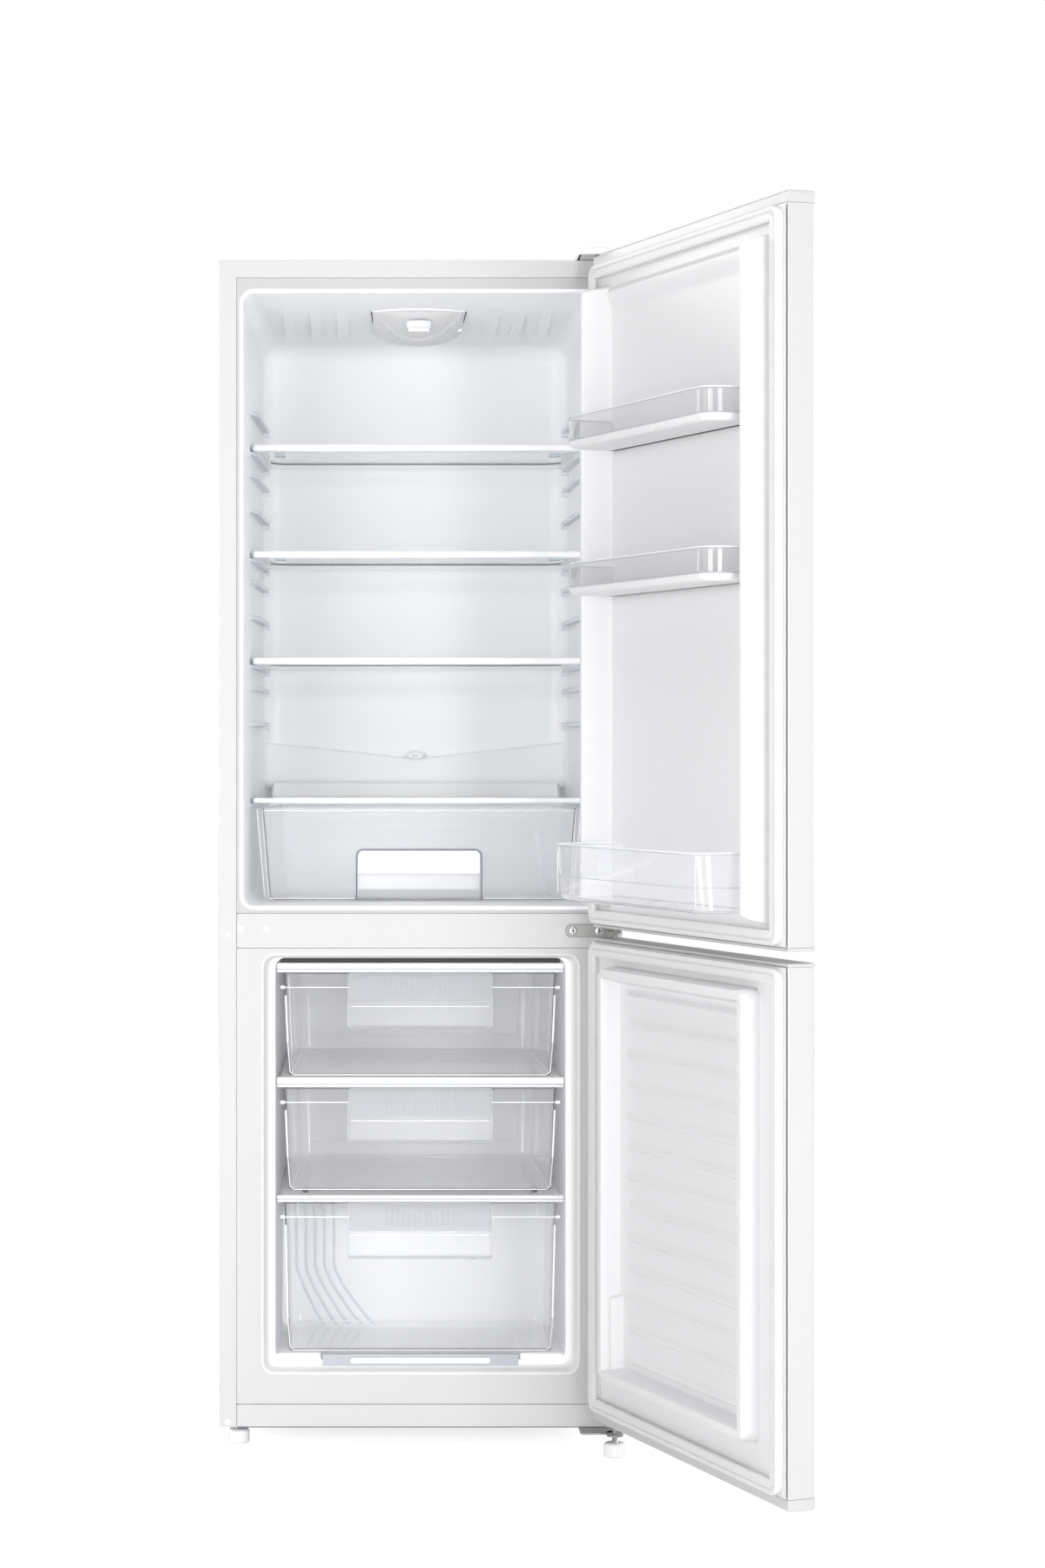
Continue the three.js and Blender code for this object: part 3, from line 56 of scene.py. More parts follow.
# camera, from the vanishing lines of the photograph
view = {"place": (-80.6, -4288.7, 961.0), "lens": 72.27, "sensor": 36, "shift": (0.1027, -0.0252), "far": 60}
cameraData = bpy.data.cameras.new("camera")
cameraData.lens = view["lens"]
cameraData.sensor_width = view["sensor"]
cameraData.shift_x, cameraData.shift_y = view["shift"]
cameraData.clip_end = view["far"]
camera = bpy.data.objects.new("camera", cameraData)
camera.location = Vector((np.array(view["place"]) + rowShift) / 1000)
camera.rotation_euler = (pi / 2, 0, 0)
bpy.context.scene.collection.objects.link(camera)
bpy.context.scene.camera = camera
print("camera placed")


# Shape tools: each part is a pair of points and faces, and a piece is made of several parts.
def quarter(radius, steps):
    # a quarter round in equal steps of angle: what is left across it, and how far along it
    return [(radius * (1 - sin(a)), radius * (1 - cos(a))) for a in np.linspace(0, pi / 2, steps + 1)]


def roundedLoop(u0, u1, v0, v1, radii, steps=6):
    # closed outline of a rectangle with round corners, from the low right corner on, anticlockwise
    turn = np.linspace(0, pi / 2, steps + 1)
    places = ((u1, v0, -1, 1), (u1, v1, -1, -1), (u0, v1, 1, -1), (u0, v0, 1, 1))
    corners = zip(np.broadcast_to(radii, 4), places)
    sides = []
    for k, (r, (u, v, su, sv)) in enumerate(corners):
        angle = turn + (k - 1) * pi / 2
        sides.append(np.stack([u + su * r + r * np.cos(angle), v + sv * r + r * np.sin(angle)], 1))
    return np.concatenate(sides)


def onX(loop, x):
    # a flat outline stood up at this x: its two columns become y and z
    return np.insert(np.asarray(loop, float), 0, x, axis=1)


def onY(loop, y):
    # a flat outline stood up at this y: its two columns become x and z
    return np.insert(np.asarray(loop, float), 1, y, axis=1)


def onZ(loop, z):
    # a flat outline laid at this height: its two columns become x and y
    return np.insert(np.asarray(loop, float), 2, z, axis=1)


def unit(rows):
    # each row divided by its own length
    return rows / np.maximum(np.linalg.norm(rows, axis=1, keepdims=True), 1e-9)


def turnedOut(points, faces, facing=None):
    # a closed part gets a positive volume, an open sheet looks along facing
    total, volume = np.zeros(3), 0.0
    for face in faces:
        corner = points[face]
        fan = np.cross(corner[1:-1] - corner[0], corner[2:] - corner[0])
        total += fan.sum(0)
        volume += (fan @ corner[0]).sum()
    if (volume if facing is None else total @ np.array(facing, float)) < 0:
        faces = [face[::-1] for face in faces]
    return points, faces


def quads(rows, columns, wrapRows=False, wrapColumns=False):
    # four-sided faces between neighbours in a grid of points, numbered row by row, closed where it wraps
    i, j = np.meshgrid(np.arange(rows if wrapRows else rows - 1),
                       np.arange(columns if wrapColumns else columns - 1), indexing="ij")
    this, after, beside = i * columns, (i + 1) % rows * columns, (j + 1) % columns
    return np.stack([this + j, this + beside, after + beside, after + j], -1).reshape(-1, 4)


def closedEnds(count, size):
    # the faces that close the first and the last of count loops
    return [list(range(size))[::-1], list(range((count - 1) * size, count * size))]


def stacked(loops, facing=None, closeLast=True):
    # loops of equal length joined by four-sided faces; the first stays open on a sheet, which has a facing
    count, size = len(loops), len(loops[0])
    ends = closedEnds(count, size)[(facing is not None):(2 if closeLast else 1)]
    return turnedOut(np.concatenate(loops), quads(count, size, wrapColumns=True).tolist() + ends, facing)


def sheet(grid, facing):
    # a surface through a grid of points, looking along facing
    points = grid.reshape(-1, 3)
    faces = quads(*grid.shape[:2])[:, [0, 3, 2, 1]]
    side = np.cross(points[faces[:, 1]] - points[faces[:, 0]], points[faces[:, 2]] - points[faces[:, 0]])
    if side.sum(0) @ np.array(facing, float) < 0:
        faces = faces[:, ::-1]
    return points, faces.tolist()


def inset(loop, distance):
    # every corner of an anticlockwise outline moves inwards along the bisector of its two sides
    loop = np.asarray(loop, float)
    a, b = unit(loop - np.roll(loop, 1, 0)), unit(np.roll(loop, -1, 0) - loop)
    normal = np.stack([-(a[:, 1] + b[:, 1]), a[:, 0] + b[:, 0]], 1)
    half = np.maximum(np.linalg.norm(normal, axis=1, keepdims=True) / 2, 0.35)
    return loop + unit(normal) * distance / half


def softSlab(outline, low, high, edge, lift=onZ, steps=3):
    # an outline carried from low to high, with a quarter round of radius edge at both ends
    ends = quarter(edge, steps)
    loops = [lift(inset(outline, by), low + rise) for by, rise in ends]
    return stacked(loops + [lift(inset(outline, by), high - rise) for by, rise in ends[::-1]])


def softBox(x0, x1, y0, y1, z0, z1, edge, corner=None, lift=onZ, steps=3):
    # a box with soft edges: round corners seen along the lift axis, a quarter round at its two ends
    corner = edge if corner is None else corner
    spans = {onZ: (x0, x1, y0, y1, z0, z1), onY: (x0, x1, z0, z1, y0, y1), onX: (y0, y1, z0, z1, x0, x1)}
    u0, u1, v0, v1, low, high = spans[lift]
    outline = roundedLoop(u0, u1, v0, v1, max(corner, edge * 1.05), 4)
    return softSlab(outline, low, high, edge, lift, steps)


def carried(profile, path, up, closedPath=False):
    # profile rows are (side, up): it moves along the path, mitred at each bend
    profile, path, up = (np.asarray(rows, float) for rows in (profile, path, up))
    step = np.roll(path, -1, 0) - path
    if not closedPath:
        step[-1] = step[-2]
    step = unit(step)
    last = np.roll(step, 1, 0)
    if not closedPath:
        last[0] = step[0]
    along = unit(step + last)
    side = np.cross(along, up) / np.maximum((along * step).sum(1), 0.5)[:, None]
    points = path[:, None] + side[:, None] * profile[None, :, :1] + up * profile[None, :, 1:]
    count, size = len(path), len(profile)
    ends = [] if closedPath else closedEnds(count, size)
    return turnedOut(points.reshape(-1, 3), quads(count, size, closedPath, True).tolist() + ends)


def piped(path, radius, sides=12):
    # a round tube along a smooth path; each ring stands square to the path and turns with it
    path = np.asarray(path, float)
    along = unit(np.gradient(path, axis=0))
    across = np.cross(along[0], [0.31, 0.17, 0.93])
    angle = np.linspace(0, 2 * pi, sides, endpoint=False)[:, None]
    rings = []
    for point, direction in zip(path, along):
        across = across - direction * (across @ direction)
        across /= np.linalg.norm(across)
        rings.append(point + radius * (np.cos(angle) * across + np.sin(angle) * np.cross(direction, across)))
    return stacked(rings)


def bead(path, radius, sides=8, stretch=12):
    # thin raised line on a moulding: straight stretches, cut short enough for the tube to bend at their ends
    path = np.asarray(path, float)
    fine = [path[0]]
    for start, end in zip(path[:-1], path[1:]):
        count = max(int(np.linalg.norm(end - start) / stretch), 1)
        fine += [start + (end - start) * k / count for k in range(1, count + 1)]
    return piped(fine, radius, sides)


def beads(*rows):
    # rows are (path, radius), and a count of sides where it isn't eight
    return [bead(*row) for row in rows]


def turned(profile, centre, sides=32, axis="z"):
    # profile rows are (radius, height), spun about a line through centre; flat discs close both ends
    angle = np.linspace(0, 2 * pi, sides, endpoint=False)
    lift = {"z": onZ, "y": onY, "x": onX}[axis]
    circle = np.stack([np.cos(angle), np.sin(angle)], 1)
    return stacked([lift(circle * r, h) + np.asarray(centre, float) for r, h in profile])


def smoothStep(value, low, high):
    # 0 below low, 1 above high, and between them three times the square less twice the cube
    t = np.clip((value - low) / (high - low), 0, 1)
    return t * t * (3 - 2 * t)


def gridLines(low, high, step, fine):
    # even lines from low to high, closer together round each (place, reach, spacing) of fine
    lines = [np.arange(low, high, step), [high]]
    lines += [np.arange(place - reach, place + reach, spacing) for place, reach, spacing in fine]
    lines = np.unique(np.round(np.concatenate(lines), 2))
    lines = lines[(lines >= low) & (lines <= high)]
    return lines[np.concatenate([[True], np.diff(lines) > 0.3])]


def mirrored(part):
    # the same part at the other side: x changes its sign, and each face its direction
    return part[0] * np.array([-1.0, 1, 1]), [face[::-1] for face in part[1]]


def together(*parts):
    # parts as one: the corners of each face are counted on from the points before its part
    points, faces, start = [], [], 0
    for part in parts:
        points.append(part[0])
        faces += [[start + index for index in face] for face in part[1]]
        start += len(part[0])
    return np.concatenate(points), faces


def toRow(points, onDoor):
    # a door's points turn open about the hinge line; all points move to the row frame, in metres
    points = np.array(points, float)
    if onDoor:
        turn = radians(hinge["open"])
        x, y = points[:, 0] - hinge["x"], points[:, 1] - hinge["y"]
        points[:, 0] = hinge["x"] + x * cos(turn) - y * sin(turn)
        points[:, 1] = hinge["y"] + x * sin(turn) + y * cos(turn)
    return (points + rowShift) / 1000


def makePiece(name, parts, look, body, slotName, stands=None, sharp=38):
    # the parts become one mesh in the row frame, smooth but for edges sharper than the angle
    points, faces = together(*parts)
    mesh = bpy.data.meshes.new(name)
    mesh.from_pydata(toRow(points, body in doorBodies).tolist(), [], faces)
    mesh.update()
    mesh.shade_smooth()
    mesh.set_sharp_from_angle(angle=radians(sharp))
    mesh.materials.append(finishes[look])
    piece = bpy.data.objects.new(name, mesh)
    bpy.context.scene.collection.objects.link(piece)
    flat = piece.modifiers.new("flat faces stay flat", "WEIGHTED_NORMAL")
    flat.keep_sharp = True
    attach(piece, body)
    if stands:
        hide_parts(stands)


def addNode(tree, kind, inputs=None, **settings):
    # a node with its settings, and values for the inputs that nothing is joined to
    node = tree.nodes.new(kind)
    for key, value in settings.items():
        setattr(node, key, value)
    setInputs(node, inputs or {})
    return node


def setInputs(node, inputs):
    # values for inputs, by name or number
    for key, value in inputs.items():
        node.inputs[key].default_value = value


def join(tree, *links):
    # each link is (node, output, node, input)
    for source, output, target, entry in links:
        tree.links.new(source.outputs[output], target.inputs[entry])


def makeMouldGroup():
    # two layers of noise: a coarse one shades and dulls the surface, a fine one gives its relief
    group = bpy.data.node_groups.new("mouldedSurface", "ShaderNodeTree")
    entries = {"Vector": ("Vector", (0, 0, 0)), "Colour": ("Color", (1, 1, 1, 1)),
               "Variation": ("Float", 0.03), "Roughness": ("Float", 0.4), "Grain Scale": ("Float", 500.0)}
    for label, (kind, value) in entries.items():
        entry = group.interface.new_socket(name=label, in_out="INPUT", socket_type="NodeSocket" + kind)
        entry.default_value = value
    for label, kind in (("Colour", "Color"), ("Roughness", "Float"), ("Height", "Float")):
        group.interface.new_socket(name=label, in_out="OUTPUT", socket_type="NodeSocket" + kind)
    source, result = addNode(group, "NodeGroupInput"), addNode(group, "NodeGroupOutput")
    coarse = addNode(group, "ShaderNodeTexNoise", {"Scale": 3.0, "Detail": 3})
    fine = addNode(group, "ShaderNodeTexNoise", {"Detail": 2})
    depth = addNode(group, "ShaderNodeMath", operation="MULTIPLY")
    keep = addNode(group, "ShaderNodeMath", {0: 1.0}, operation="SUBTRACT")
    shade = addNode(group, "ShaderNodeVectorMath", operation="SCALE")
    dull = addNode(group, "ShaderNodeMath", {1: 0.12}, operation="MULTIPLY_ADD")
    join(group, (source, "Vector", coarse, "Vector"), (source, "Vector", fine, "Vector"),
         (source, "Grain Scale", fine, "Scale"), (coarse, "Fac", depth, 0), (source, "Variation", depth, 1),
         (depth, 0, keep, 1), (source, "Colour", shade, 0), (keep, 0, shade, "Scale"),
         (coarse, "Fac", dull, 0), (source, "Roughness", dull, 2), (shade, 0, result, "Colour"),
         (dull, 0, result, "Roughness"), (fine, "Fac", result, "Height"))
    return group


mouldGroup = makeMouldGroup()


def makeFinish(name, colour, roughness, metallic=0.0, variation=0.03, grain=900, relief=0.02, coat=0.0):
    # an opaque finish: the moulded surface group feeds colour, roughness and a bump of its own depth
    material = bpy.data.materials.new(name)
    material.use_nodes = True
    tree = material.node_tree
    shader = tree.nodes["Principled BSDF"]
    setInputs(shader, {"Metallic": metallic, "Coat Weight": coat})
    surface = addNode(tree, "ShaderNodeGroup", node_tree=mouldGroup)
    setInputs(surface, {"Colour": (*colour, 1), "Variation": variation, "Roughness": roughness,
                        "Grain Scale": grain})
    place = addNode(tree, "ShaderNodeTexCoord")
    bump = addNode(tree, "ShaderNodeBump", {"Strength": 1.0, "Distance": relief / 1000})
    join(tree, (place, "Object", surface, "Vector"), (surface, "Colour", shader, "Base Color"),
         (surface, "Roughness", shader, "Roughness"), (surface, "Height", bump, "Height"),
         (bump, "Normal", shader, "Normal"))
    return material


def makeClear(name, tint, roughness, ior, passing, clearness=1.0):
    # clear plastic or glass: light and shadow rays go through it with its tint, others see the shader;
    # what clearness leaves over is a faint milky haze
    material = makeFinish(name, tint, roughness, variation=0.02, relief=0.0, coat=0.6)
    tree = material.node_tree
    shader = tree.nodes["Principled BSDF"]
    setInputs(shader, {"Transmission Weight": clearness, "IOR": ior, "Coat Roughness": 0.03})
    ray = addNode(tree, "ShaderNodeLightPath")
    either = addNode(tree, "ShaderNodeMath", operation="MAXIMUM")
    through = addNode(tree, "ShaderNodeBsdfTransparent", {"Color": (*passing, 1)})
    mix = addNode(tree, "ShaderNodeMixShader")
    join(tree, (ray, "Is Shadow Ray", either, 0), (ray, "Is Diffuse Ray", either, 1), (either, 0, mix, "Fac"),
         (shader, 0, mix, 1), (through, 0, mix, 2), (mix, 0, tree.nodes["Material Output"], "Surface"))
    return material


hazy = (0.95, 0.955, 0.965)
finishes = {
    "enamel": makeFinish("whiteEnamel", (0.575, 0.575, 0.579), 0.3, grain=420, relief=0.22, coat=0.3),
    "liner": makeFinish("linerPlastic", (0.93, 0.933, 0.953), 0.38, relief=0.01),
    # painted shade: a darker copy of the liner plastic, so that the wall ribs read as shaded
    "support": makeFinish("supportPlastic", (0.80, 0.82, 0.865), 0.38, relief=0.01),
    # painted shade: the lands are the liner plastic, given darker copies of its colour, one for each
    # compartment, for how light falls on them
    "land": makeFinish("linerLand", (0.485, 0.485, 0.489), 0.4, relief=0.01),
    "freezerLand": makeFinish("freezerLand", (0.565, 0.565, 0.567), 0.4, relief=0.01),
    "doorLiner": makeFinish("doorLinerPlastic", (0.745, 0.745, 0.757), 0.42, relief=0.01),
    "cap": makeFinish("endCapPlastic", (0.56, 0.56, 0.555), 0.36),
    # painted shadow for the freezer's floor between its pads
    "floorShade": makeFinish("paintedFloorShadow", (0.44, 0.47, 0.50), 0.5),
    # painted shade: blue-grey for shade lines under the shelf frames, at the ledge's ends and along the frost
    # channels
    "shade": makeFinish("paintedShadeGrey", (0.62, 0.67, 0.73), 0.4),
    "plastic": makeFinish("whitePlastic", (0.90, 0.90, 0.90), 0.34, grain=1200, relief=0.01),
    "seal": makeFinish("gasketVinyl", (0.71, 0.71, 0.71), 0.5),
    "zinc": makeFinish("greyPlate", (0.37, 0.37, 0.355), 0.42, 0.6, variation=0.2, grain=800, relief=0.03),
    "screw": makeFinish("brightScrew", (0.72, 0.72, 0.73), 0.25, 1.0, variation=0.1, grain=500),
    "galvanised": makeFinish("galvanisedSheet", (0.55, 0.56, 0.58), 0.42, 0.8, variation=0.35, grain=150),
    "black": makeFinish("blackPaint", (0.02, 0.02, 0.022), 0.4, grain=700, relief=0.05),
    "blackPlastic": makeFinish("blackPlastic", (0.03, 0.03, 0.032), 0.5, relief=0.04),
    # painted shadow: near-black fill for gaps, holes and recesses
    "dark": makeFinish("paintedGapShadow", (0.04, 0.045, 0.05), 0.6, grain=500),
    "foam": makeFinish("creamFoam", (0.75, 0.66, 0.42), 0.9, variation=0.15, grain=350, relief=0.3),
    "clear": makeClear("clearPlastic", (0.97, 0.973, 0.985), 0.02, 1.06, (0.99, 0.991, 0.994), 0.91),
    "rackClear": makeClear("rackPlastic", (0.90, 0.90, 0.905), 0.02, 1.12, (0.95, 0.95, 0.955), 0.97),
    "milk": makeClear("milkPlastic", (0.93, 0.935, 0.95), 0.3, 1.1, hazy, 0.35),
    # painted highlight: near-white lines on clear parts, rims and ceiling bars, and a lighter copy of the
    # white plastic for the crisper cover's ledge
    "edge": makeFinish("paintedHighlight", (0.93, 0.935, 0.945), 0.2, grain=500),
    # painted shade: blue-grey lines for the pocket and rack outlines and the groove on the evaporator bars;
    # also the drain's slit and the lamp's dots
    "tint": makeFinish("blueGreyLine", (0.42, 0.46, 0.52), 0.3, grain=500),
    # painted shade: dark lines at the kick rail's foot, the glass's far edge and the grip's arch
    "darkLine": makeFinish("darkLine", (0.16, 0.18, 0.21), 0.3, grain=500),
    "frosted": makeClear("frostedPlastic", (0.70, 0.708, 0.73), 0.3, 1.1, hazy, 0.76),
    "glass": makeClear("shelfGlass", (0.975, 0.985, 0.983), 0.01, 1.04, (0.98, 0.988, 0.986)),
    "opal": makeFinish("opalBulb", (0.9, 0.89, 0.85), 0.3, grain=500),
}
print("finishes ready")

# cabinet shell
shell = {"fold": 1.6, "lip": 7.0, "hem": 12.0, "sheet": 1.0, "chamfer": 0.8}


def cabinetShell():
    # bent sheet carried up one side, across the top and down the other: flange, fold, side and hem
    half, low, top, flange, depth = (cabinet[key] for key in ("half", "base", "top", "flange", "depth"))
    lip, hem, sheetWall, cut = shell["lip"], shell["hem"], shell["sheet"], shell["chamfer"]
    path = [(half, 0, low), (half, 0, top), (-half, 0, top), (-half, 0, low)]
    profile = [(flange, lip), (flange, cut), (flange - cut, 0.0), *quarter(shell["fold"], 4),
               (0, depth - sheetWall), (sheetWall, depth), (hem, depth), (hem, depth - sheetWall),
               (sheetWall, depth - sheetWall), (sheetWall, 1.1), (flange - sheetWall, 1.1),
               (flange - sheetWall, lip)]
    return carried(profile, path, (0, 1, 0))


makePiece("outerWrap", [cabinetShell()], "enamel", "cabinet", "enamel", "outer_wrap")

# openings of both compartments: outlines are (left, right, low, high)
outward = np.array([-1, 1, -1, 1])
lipFront = 0.3


def landLoops(land, steps):
    # flat land between the steel flange and the lip of an opening, folded back at its outer edge
    outer = roundedLoop(*land, 1.5, steps)
    return [onY(outer, lipFront + 6), onY(outer, lipFront + 0.4), onY(inset(outer, 0.4), lipFront)]


def lined(loops, closeLast=False):
    # loops joined to a sheet that looks to the front, as the inside of a compartment does
    return stacked(loops, (0, -1, 0), closeLast)


fridge = {
    "mouth": (-241.5, 241.5, 741.0, 1576.5), "back": (-227.0, 227.0, 743.0, 1556.5), "depth": 435.0,
    "land": (-250.7, 250.7, 731.3, 1596.7), "lip": 5.0, "mouthRadius": 14.0, "backRadius": 30.0,
    "fillet": 26.0,
}


def fridgeLiner():
    # the land, and the cavity: round the lip, along the walls, round the fillet into the back wall
    f = fridge
    mouth, back = np.array(f["mouth"]), np.array(f["back"])
    start, depth = lipFront + f["lip"], f["depth"]
    rows = [(mouth + outward * wide, f["mouthRadius"] + wide, lipFront + deep)
            for deep, wide in quarter(f["lip"], 5)[::-1]]
    for y in start + (depth - f["fillet"] - start) * np.linspace(0.05, 1, 8):
        share = y / depth
        rows.append((mouth + (back - mouth) * share,
                     f["mouthRadius"] + (f["backRadius"] - f["mouthRadius"]) * share, y))
    for left, by in quarter(f["fillet"], 7)[1:]:
        wall = mouth + (back - mouth) * ((depth - left) / depth)
        rows.append((wall - outward * by, max(f["backRadius"] - by, 2), depth - left))
    loops = [onY(roundedLoop(*outline, r, 8), y) for outline, r, y in rows]
    return lined(landLoops(f["land"], 8) + loops[:1]), lined(loops, True)


def wallAt(y):
    # the right wall closes in towards the back
    return fridge["mouth"][1] + (fridge["back"][1] - fridge["mouth"][1]) * y / fridge["depth"]


def ceilingAt(y):
    # the ceiling falls towards the back
    return fridge["mouth"][3] + (fridge["back"][3] - fridge["mouth"][3]) * y / fridge["depth"]


ribs = {
    "levels": [1429.0, 1371.7, 1341.0, 1291.5, 1222.2, 1191.5, 1142.0, 1072.7, 1042.0, 992.5, 878.1],
    "height": 5.0, "proud": 9.0, "front": 126.0, "back": 402.0, "stop": 9.0, "slope": 34.0, "edge": 1.2,
}


def wallRib(z):
    # a bar that follows the side wall, with a small square stop at its far end
    y0, y1, proud, height, edge = (ribs[key] for key in ("front", "back", "proud", "height", "edge"))
    slope, end = y0 + ribs["slope"], wallAt(y1)
    outline = np.array([(wallAt(y0) + 2, y0), (end + 2, y1), (end - proud, y1),
                        (wallAt(slope) - proud, slope), (wallAt(y0) - 1, y0)])[::-1]
    stop = softBox(end - proud - 2, end + 2, y1 - 2, y1 + ribs["stop"], z - height - 5, z + 1, edge)
    return together(softSlab(outline, z - height, z, edge), stop)


gutter = {
    "half": 224.0, "rise": 941.0, "fall": 23.0, "low": 894.0, "proud": 14.0, "flat": 15.0, "edge": 5.0,
    "mouthBack": 9.0, "hole": 5.0, "dish": (13.0, 4.8), "dishRise": 3.6, "slit": (4.5, 2.9, 4.3),
}


def gutterLedge():
    # ledge on the back wall whose top falls from both sides to a flat middle
    half, rise, high = gutter["half"], gutter["rise"], gutter["rise"] + gutter["fall"]
    outline = np.array([(-half, gutter["low"]), (half, gutter["low"]), (half, high),
                        (gutter["flat"], rise), (-gutter["flat"], rise), (-half, high)])
    return softSlab(outline, fridge["depth"] - gutter["proud"], fridge["depth"] + 6, gutter["edge"], onY, 4)


def drainDish():
    # oval rim of the outlet: the rows are (share of its size, distance back)
    rows = [(0, 7), (1, 7), (1, -1.2), (0.93, -2.0), (0.8, -2.0), (0.66, -0.6), (0, -0.2)]
    wide, high = gutter["dish"]
    angle = np.linspace(0, 2 * pi, 40, endpoint=False)
    oval = np.stack([wide * np.cos(angle), high * np.sin(angle)], 1)
    middle = np.array([0, fridge["depth"] - gutter["proud"], gutter["rise"] + gutter["dishRise"]])
    return stacked([onY(oval * share, y) + middle for share, y in rows])


def drainMouth():
    # a shallow funnel on the gutter
    r = gutter["hole"]
    rows = [(0, 0.6), (r, 0.6), (r + 0.8, 1.0), (r + 5, 0.4), (r + 6, -2), (0, -2)]
    return turned(rows, (0, fridge["depth"] - gutter["mouthBack"], gutter["rise"] + 0.6), 28)


def drainSlit():
    # short dark bar let into the drain's mouth, a little proud of its face
    half, low, high = gutter["slit"]
    face = fridge["depth"] - gutter["proud"]
    rise = gutter["rise"]
    return softBox(-half, half, face - 0.9, face + 1, rise + low, rise + high, 0.3, 0.6, onY)


ceilingBars = {
    "places": (-184.5, -145.6, -106.7, 107.4, 145, 182), "from": 150.0, "to": 330.0, "ramp": 60.0,
    "half": 8.0,
    "edge": 1.3, "dash": 7.0, "dashHeight": 1558.6,
}


def ceilingBar(x):
    # a low bar along the ceiling that grows thicker towards the back; rows are (place, ceiling's place, drop)
    y0, y1 = ceilingBars["from"], ceilingBars["to"]
    ramp = y0 + ceilingBars["ramp"]
    rows = ((y0, y0, -3), (y0, y0, 0.2), (ramp, ramp, 3), (y1, y1, 5), (y1 + 2, y1, 5), (y1 + 2, y1, -3))
    outline = np.array([(y, ceilingAt(place) - drop) for y, place, drop in rows])
    return softSlab(outline, x - ceilingBars["half"], x + ceilingBars["half"], ceilingBars["edge"], onX)


def ceilingDash(x):
    # painted highlight on the far end of a ceiling bar
    y, z, half = ceilingBars["to"] + 1, ceilingBars["dashHeight"], ceilingBars["dash"]
    return bead([(x - half, y, z), (x + half, y, z)], 1.0)


fridgeLand, fridgeCavity = fridgeLiner()
wallRibs = [wallRib(z) for z in ribs["levels"]]
hole = gutter["hole"]
# painted shadow: a dark disc in the drain's hole
bore = turned([(0, 0), (hole, 0), (hole, 0.4), (0, 0.4)],
              (0, fridge["depth"] - gutter["mouthBack"], gutter["rise"] + 1.0), 24)
for name, parts, look, *stands in (
        ("fridgeLand", [fridgeLand], "land"),
        ("fridgeLiner", [fridgeCavity], "liner", "fridge_liner"),
        # the ribs take the darker support finish, a painted shade
        ("shelfSupports", wallRibs + [mirrored(rib) for rib in wallRibs], "support"),
        ("gutter", [gutterLedge(), drainMouth(), drainDish()], "liner"),
        ("ceilingDashes", [ceilingDash(x) for x in ceilingBars["places"]], "edge"),
        ("ceilingRibs", [ceilingBar(x) for x in ceilingBars["places"]], "liner"),
        ("drainBore", [bore], "dark"),
        ("drainSlit", [drainSlit()], "tint")):
    makePiece(name, parts, look, "cabinet", "liner_plastic", *stands)
print("fridge compartment done")

freezer = {
    "mouth": (-213.0, 213.0, 106.5, 672.0), "rebate": (-210.5, 210.5, 109.0, 669.5), "rebateDepth": 18.0,
    "inner": (-198.5, 198.5, 119.0, 669.0), "back": (-190.5, 190.5, 119.0, 669.0), "depth": 430.0,
    "land": (-250.7, 250.7, 62.3, 683.4), "lip": 4.0, "radius": 14.0, "rebateFillet": 4.0, "step": 3.0,
    "fillet": 15.0,
}


def freezerLiner():
    # the land, the rebate for the front, and the cavity; the rebate's rounds leave its top edge straight
    f, r = freezer, freezer["radius"]
    mouth, rebate, inner, back = (np.array(f[key]) for key in ("mouth", "rebate", "inner", "back"))
    notTop = outward * np.array([1, 1, 1, 0])
    rows = [(mouth + outward * wide, r + wide, lipFront + deep) for deep, wide in quarter(f["lip"], 4)[::-1]]
    rows.append((rebate, r, f["rebateDepth"] - f["rebateFillet"]))
    step = f["rebateDepth"]
    rows += [(rebate - notTop * by, r, step - left) for left, by in quarter(f["rebateFillet"], 3)[1:]]
    seam = len(rows)
    rows += [(inner + notTop * wide, r, step + deep) for deep, wide in quarter(f["step"], 3)[::-1]]
    rows.append(((inner + back) / 2, r, f["depth"] / 2))
    rows += [(back - outward * by, max(r - 0.8 * by, 1), f["depth"] - left)
             for left, by in quarter(f["fillet"], 5)]
    loops = [onY(roundedLoop(*outline, radius, 6), y) for outline, radius, y in rows]
    return lined(landLoops(f["land"], 6) + loops[:1]), lined(loops[:seam]), lined(loops[seam - 1:], True)


stepOutline = np.array([(255, 110), (436, 110), (436, 326), (296, 326), (262, 292), (255, 280)])
channels = {
    "count": 5, "left": -174.0, "pitch": 13.5, "lowLeft": -133.0, "lowPitch": 18.0, "face": 254.4,
    "radius": 2.2,
    "rows": ((1, 0, 0, 300), (1, 0, 0, 240), (1, 0, 0, 207), (0.8, 0.2, 1, 181), (0.3, 0.7, 0, 142),
             (0, 1, 0, 122)),
}


def frostChannel(k):
    # a line down the step that bends aside: the rows are (share of its top x, share of its foot x, shift, z)
    c = channels
    top, foot = c["left"] + k * c["pitch"], c["lowLeft"] + k * c["lowPitch"]
    corner = np.array([(top * high + foot * low + shift, c["face"], z) for high, low, shift, z in c["rows"]])
    fine = np.linspace(0, 5, 26)
    path = np.stack([np.interp(fine, np.arange(6), corner[:, axis]) for axis in range(3)], 1)
    path[1:-1] = (path[:-2] + path[1:-1] * 2 + path[2:]) / 4
    return piped(path, c["radius"], 10)


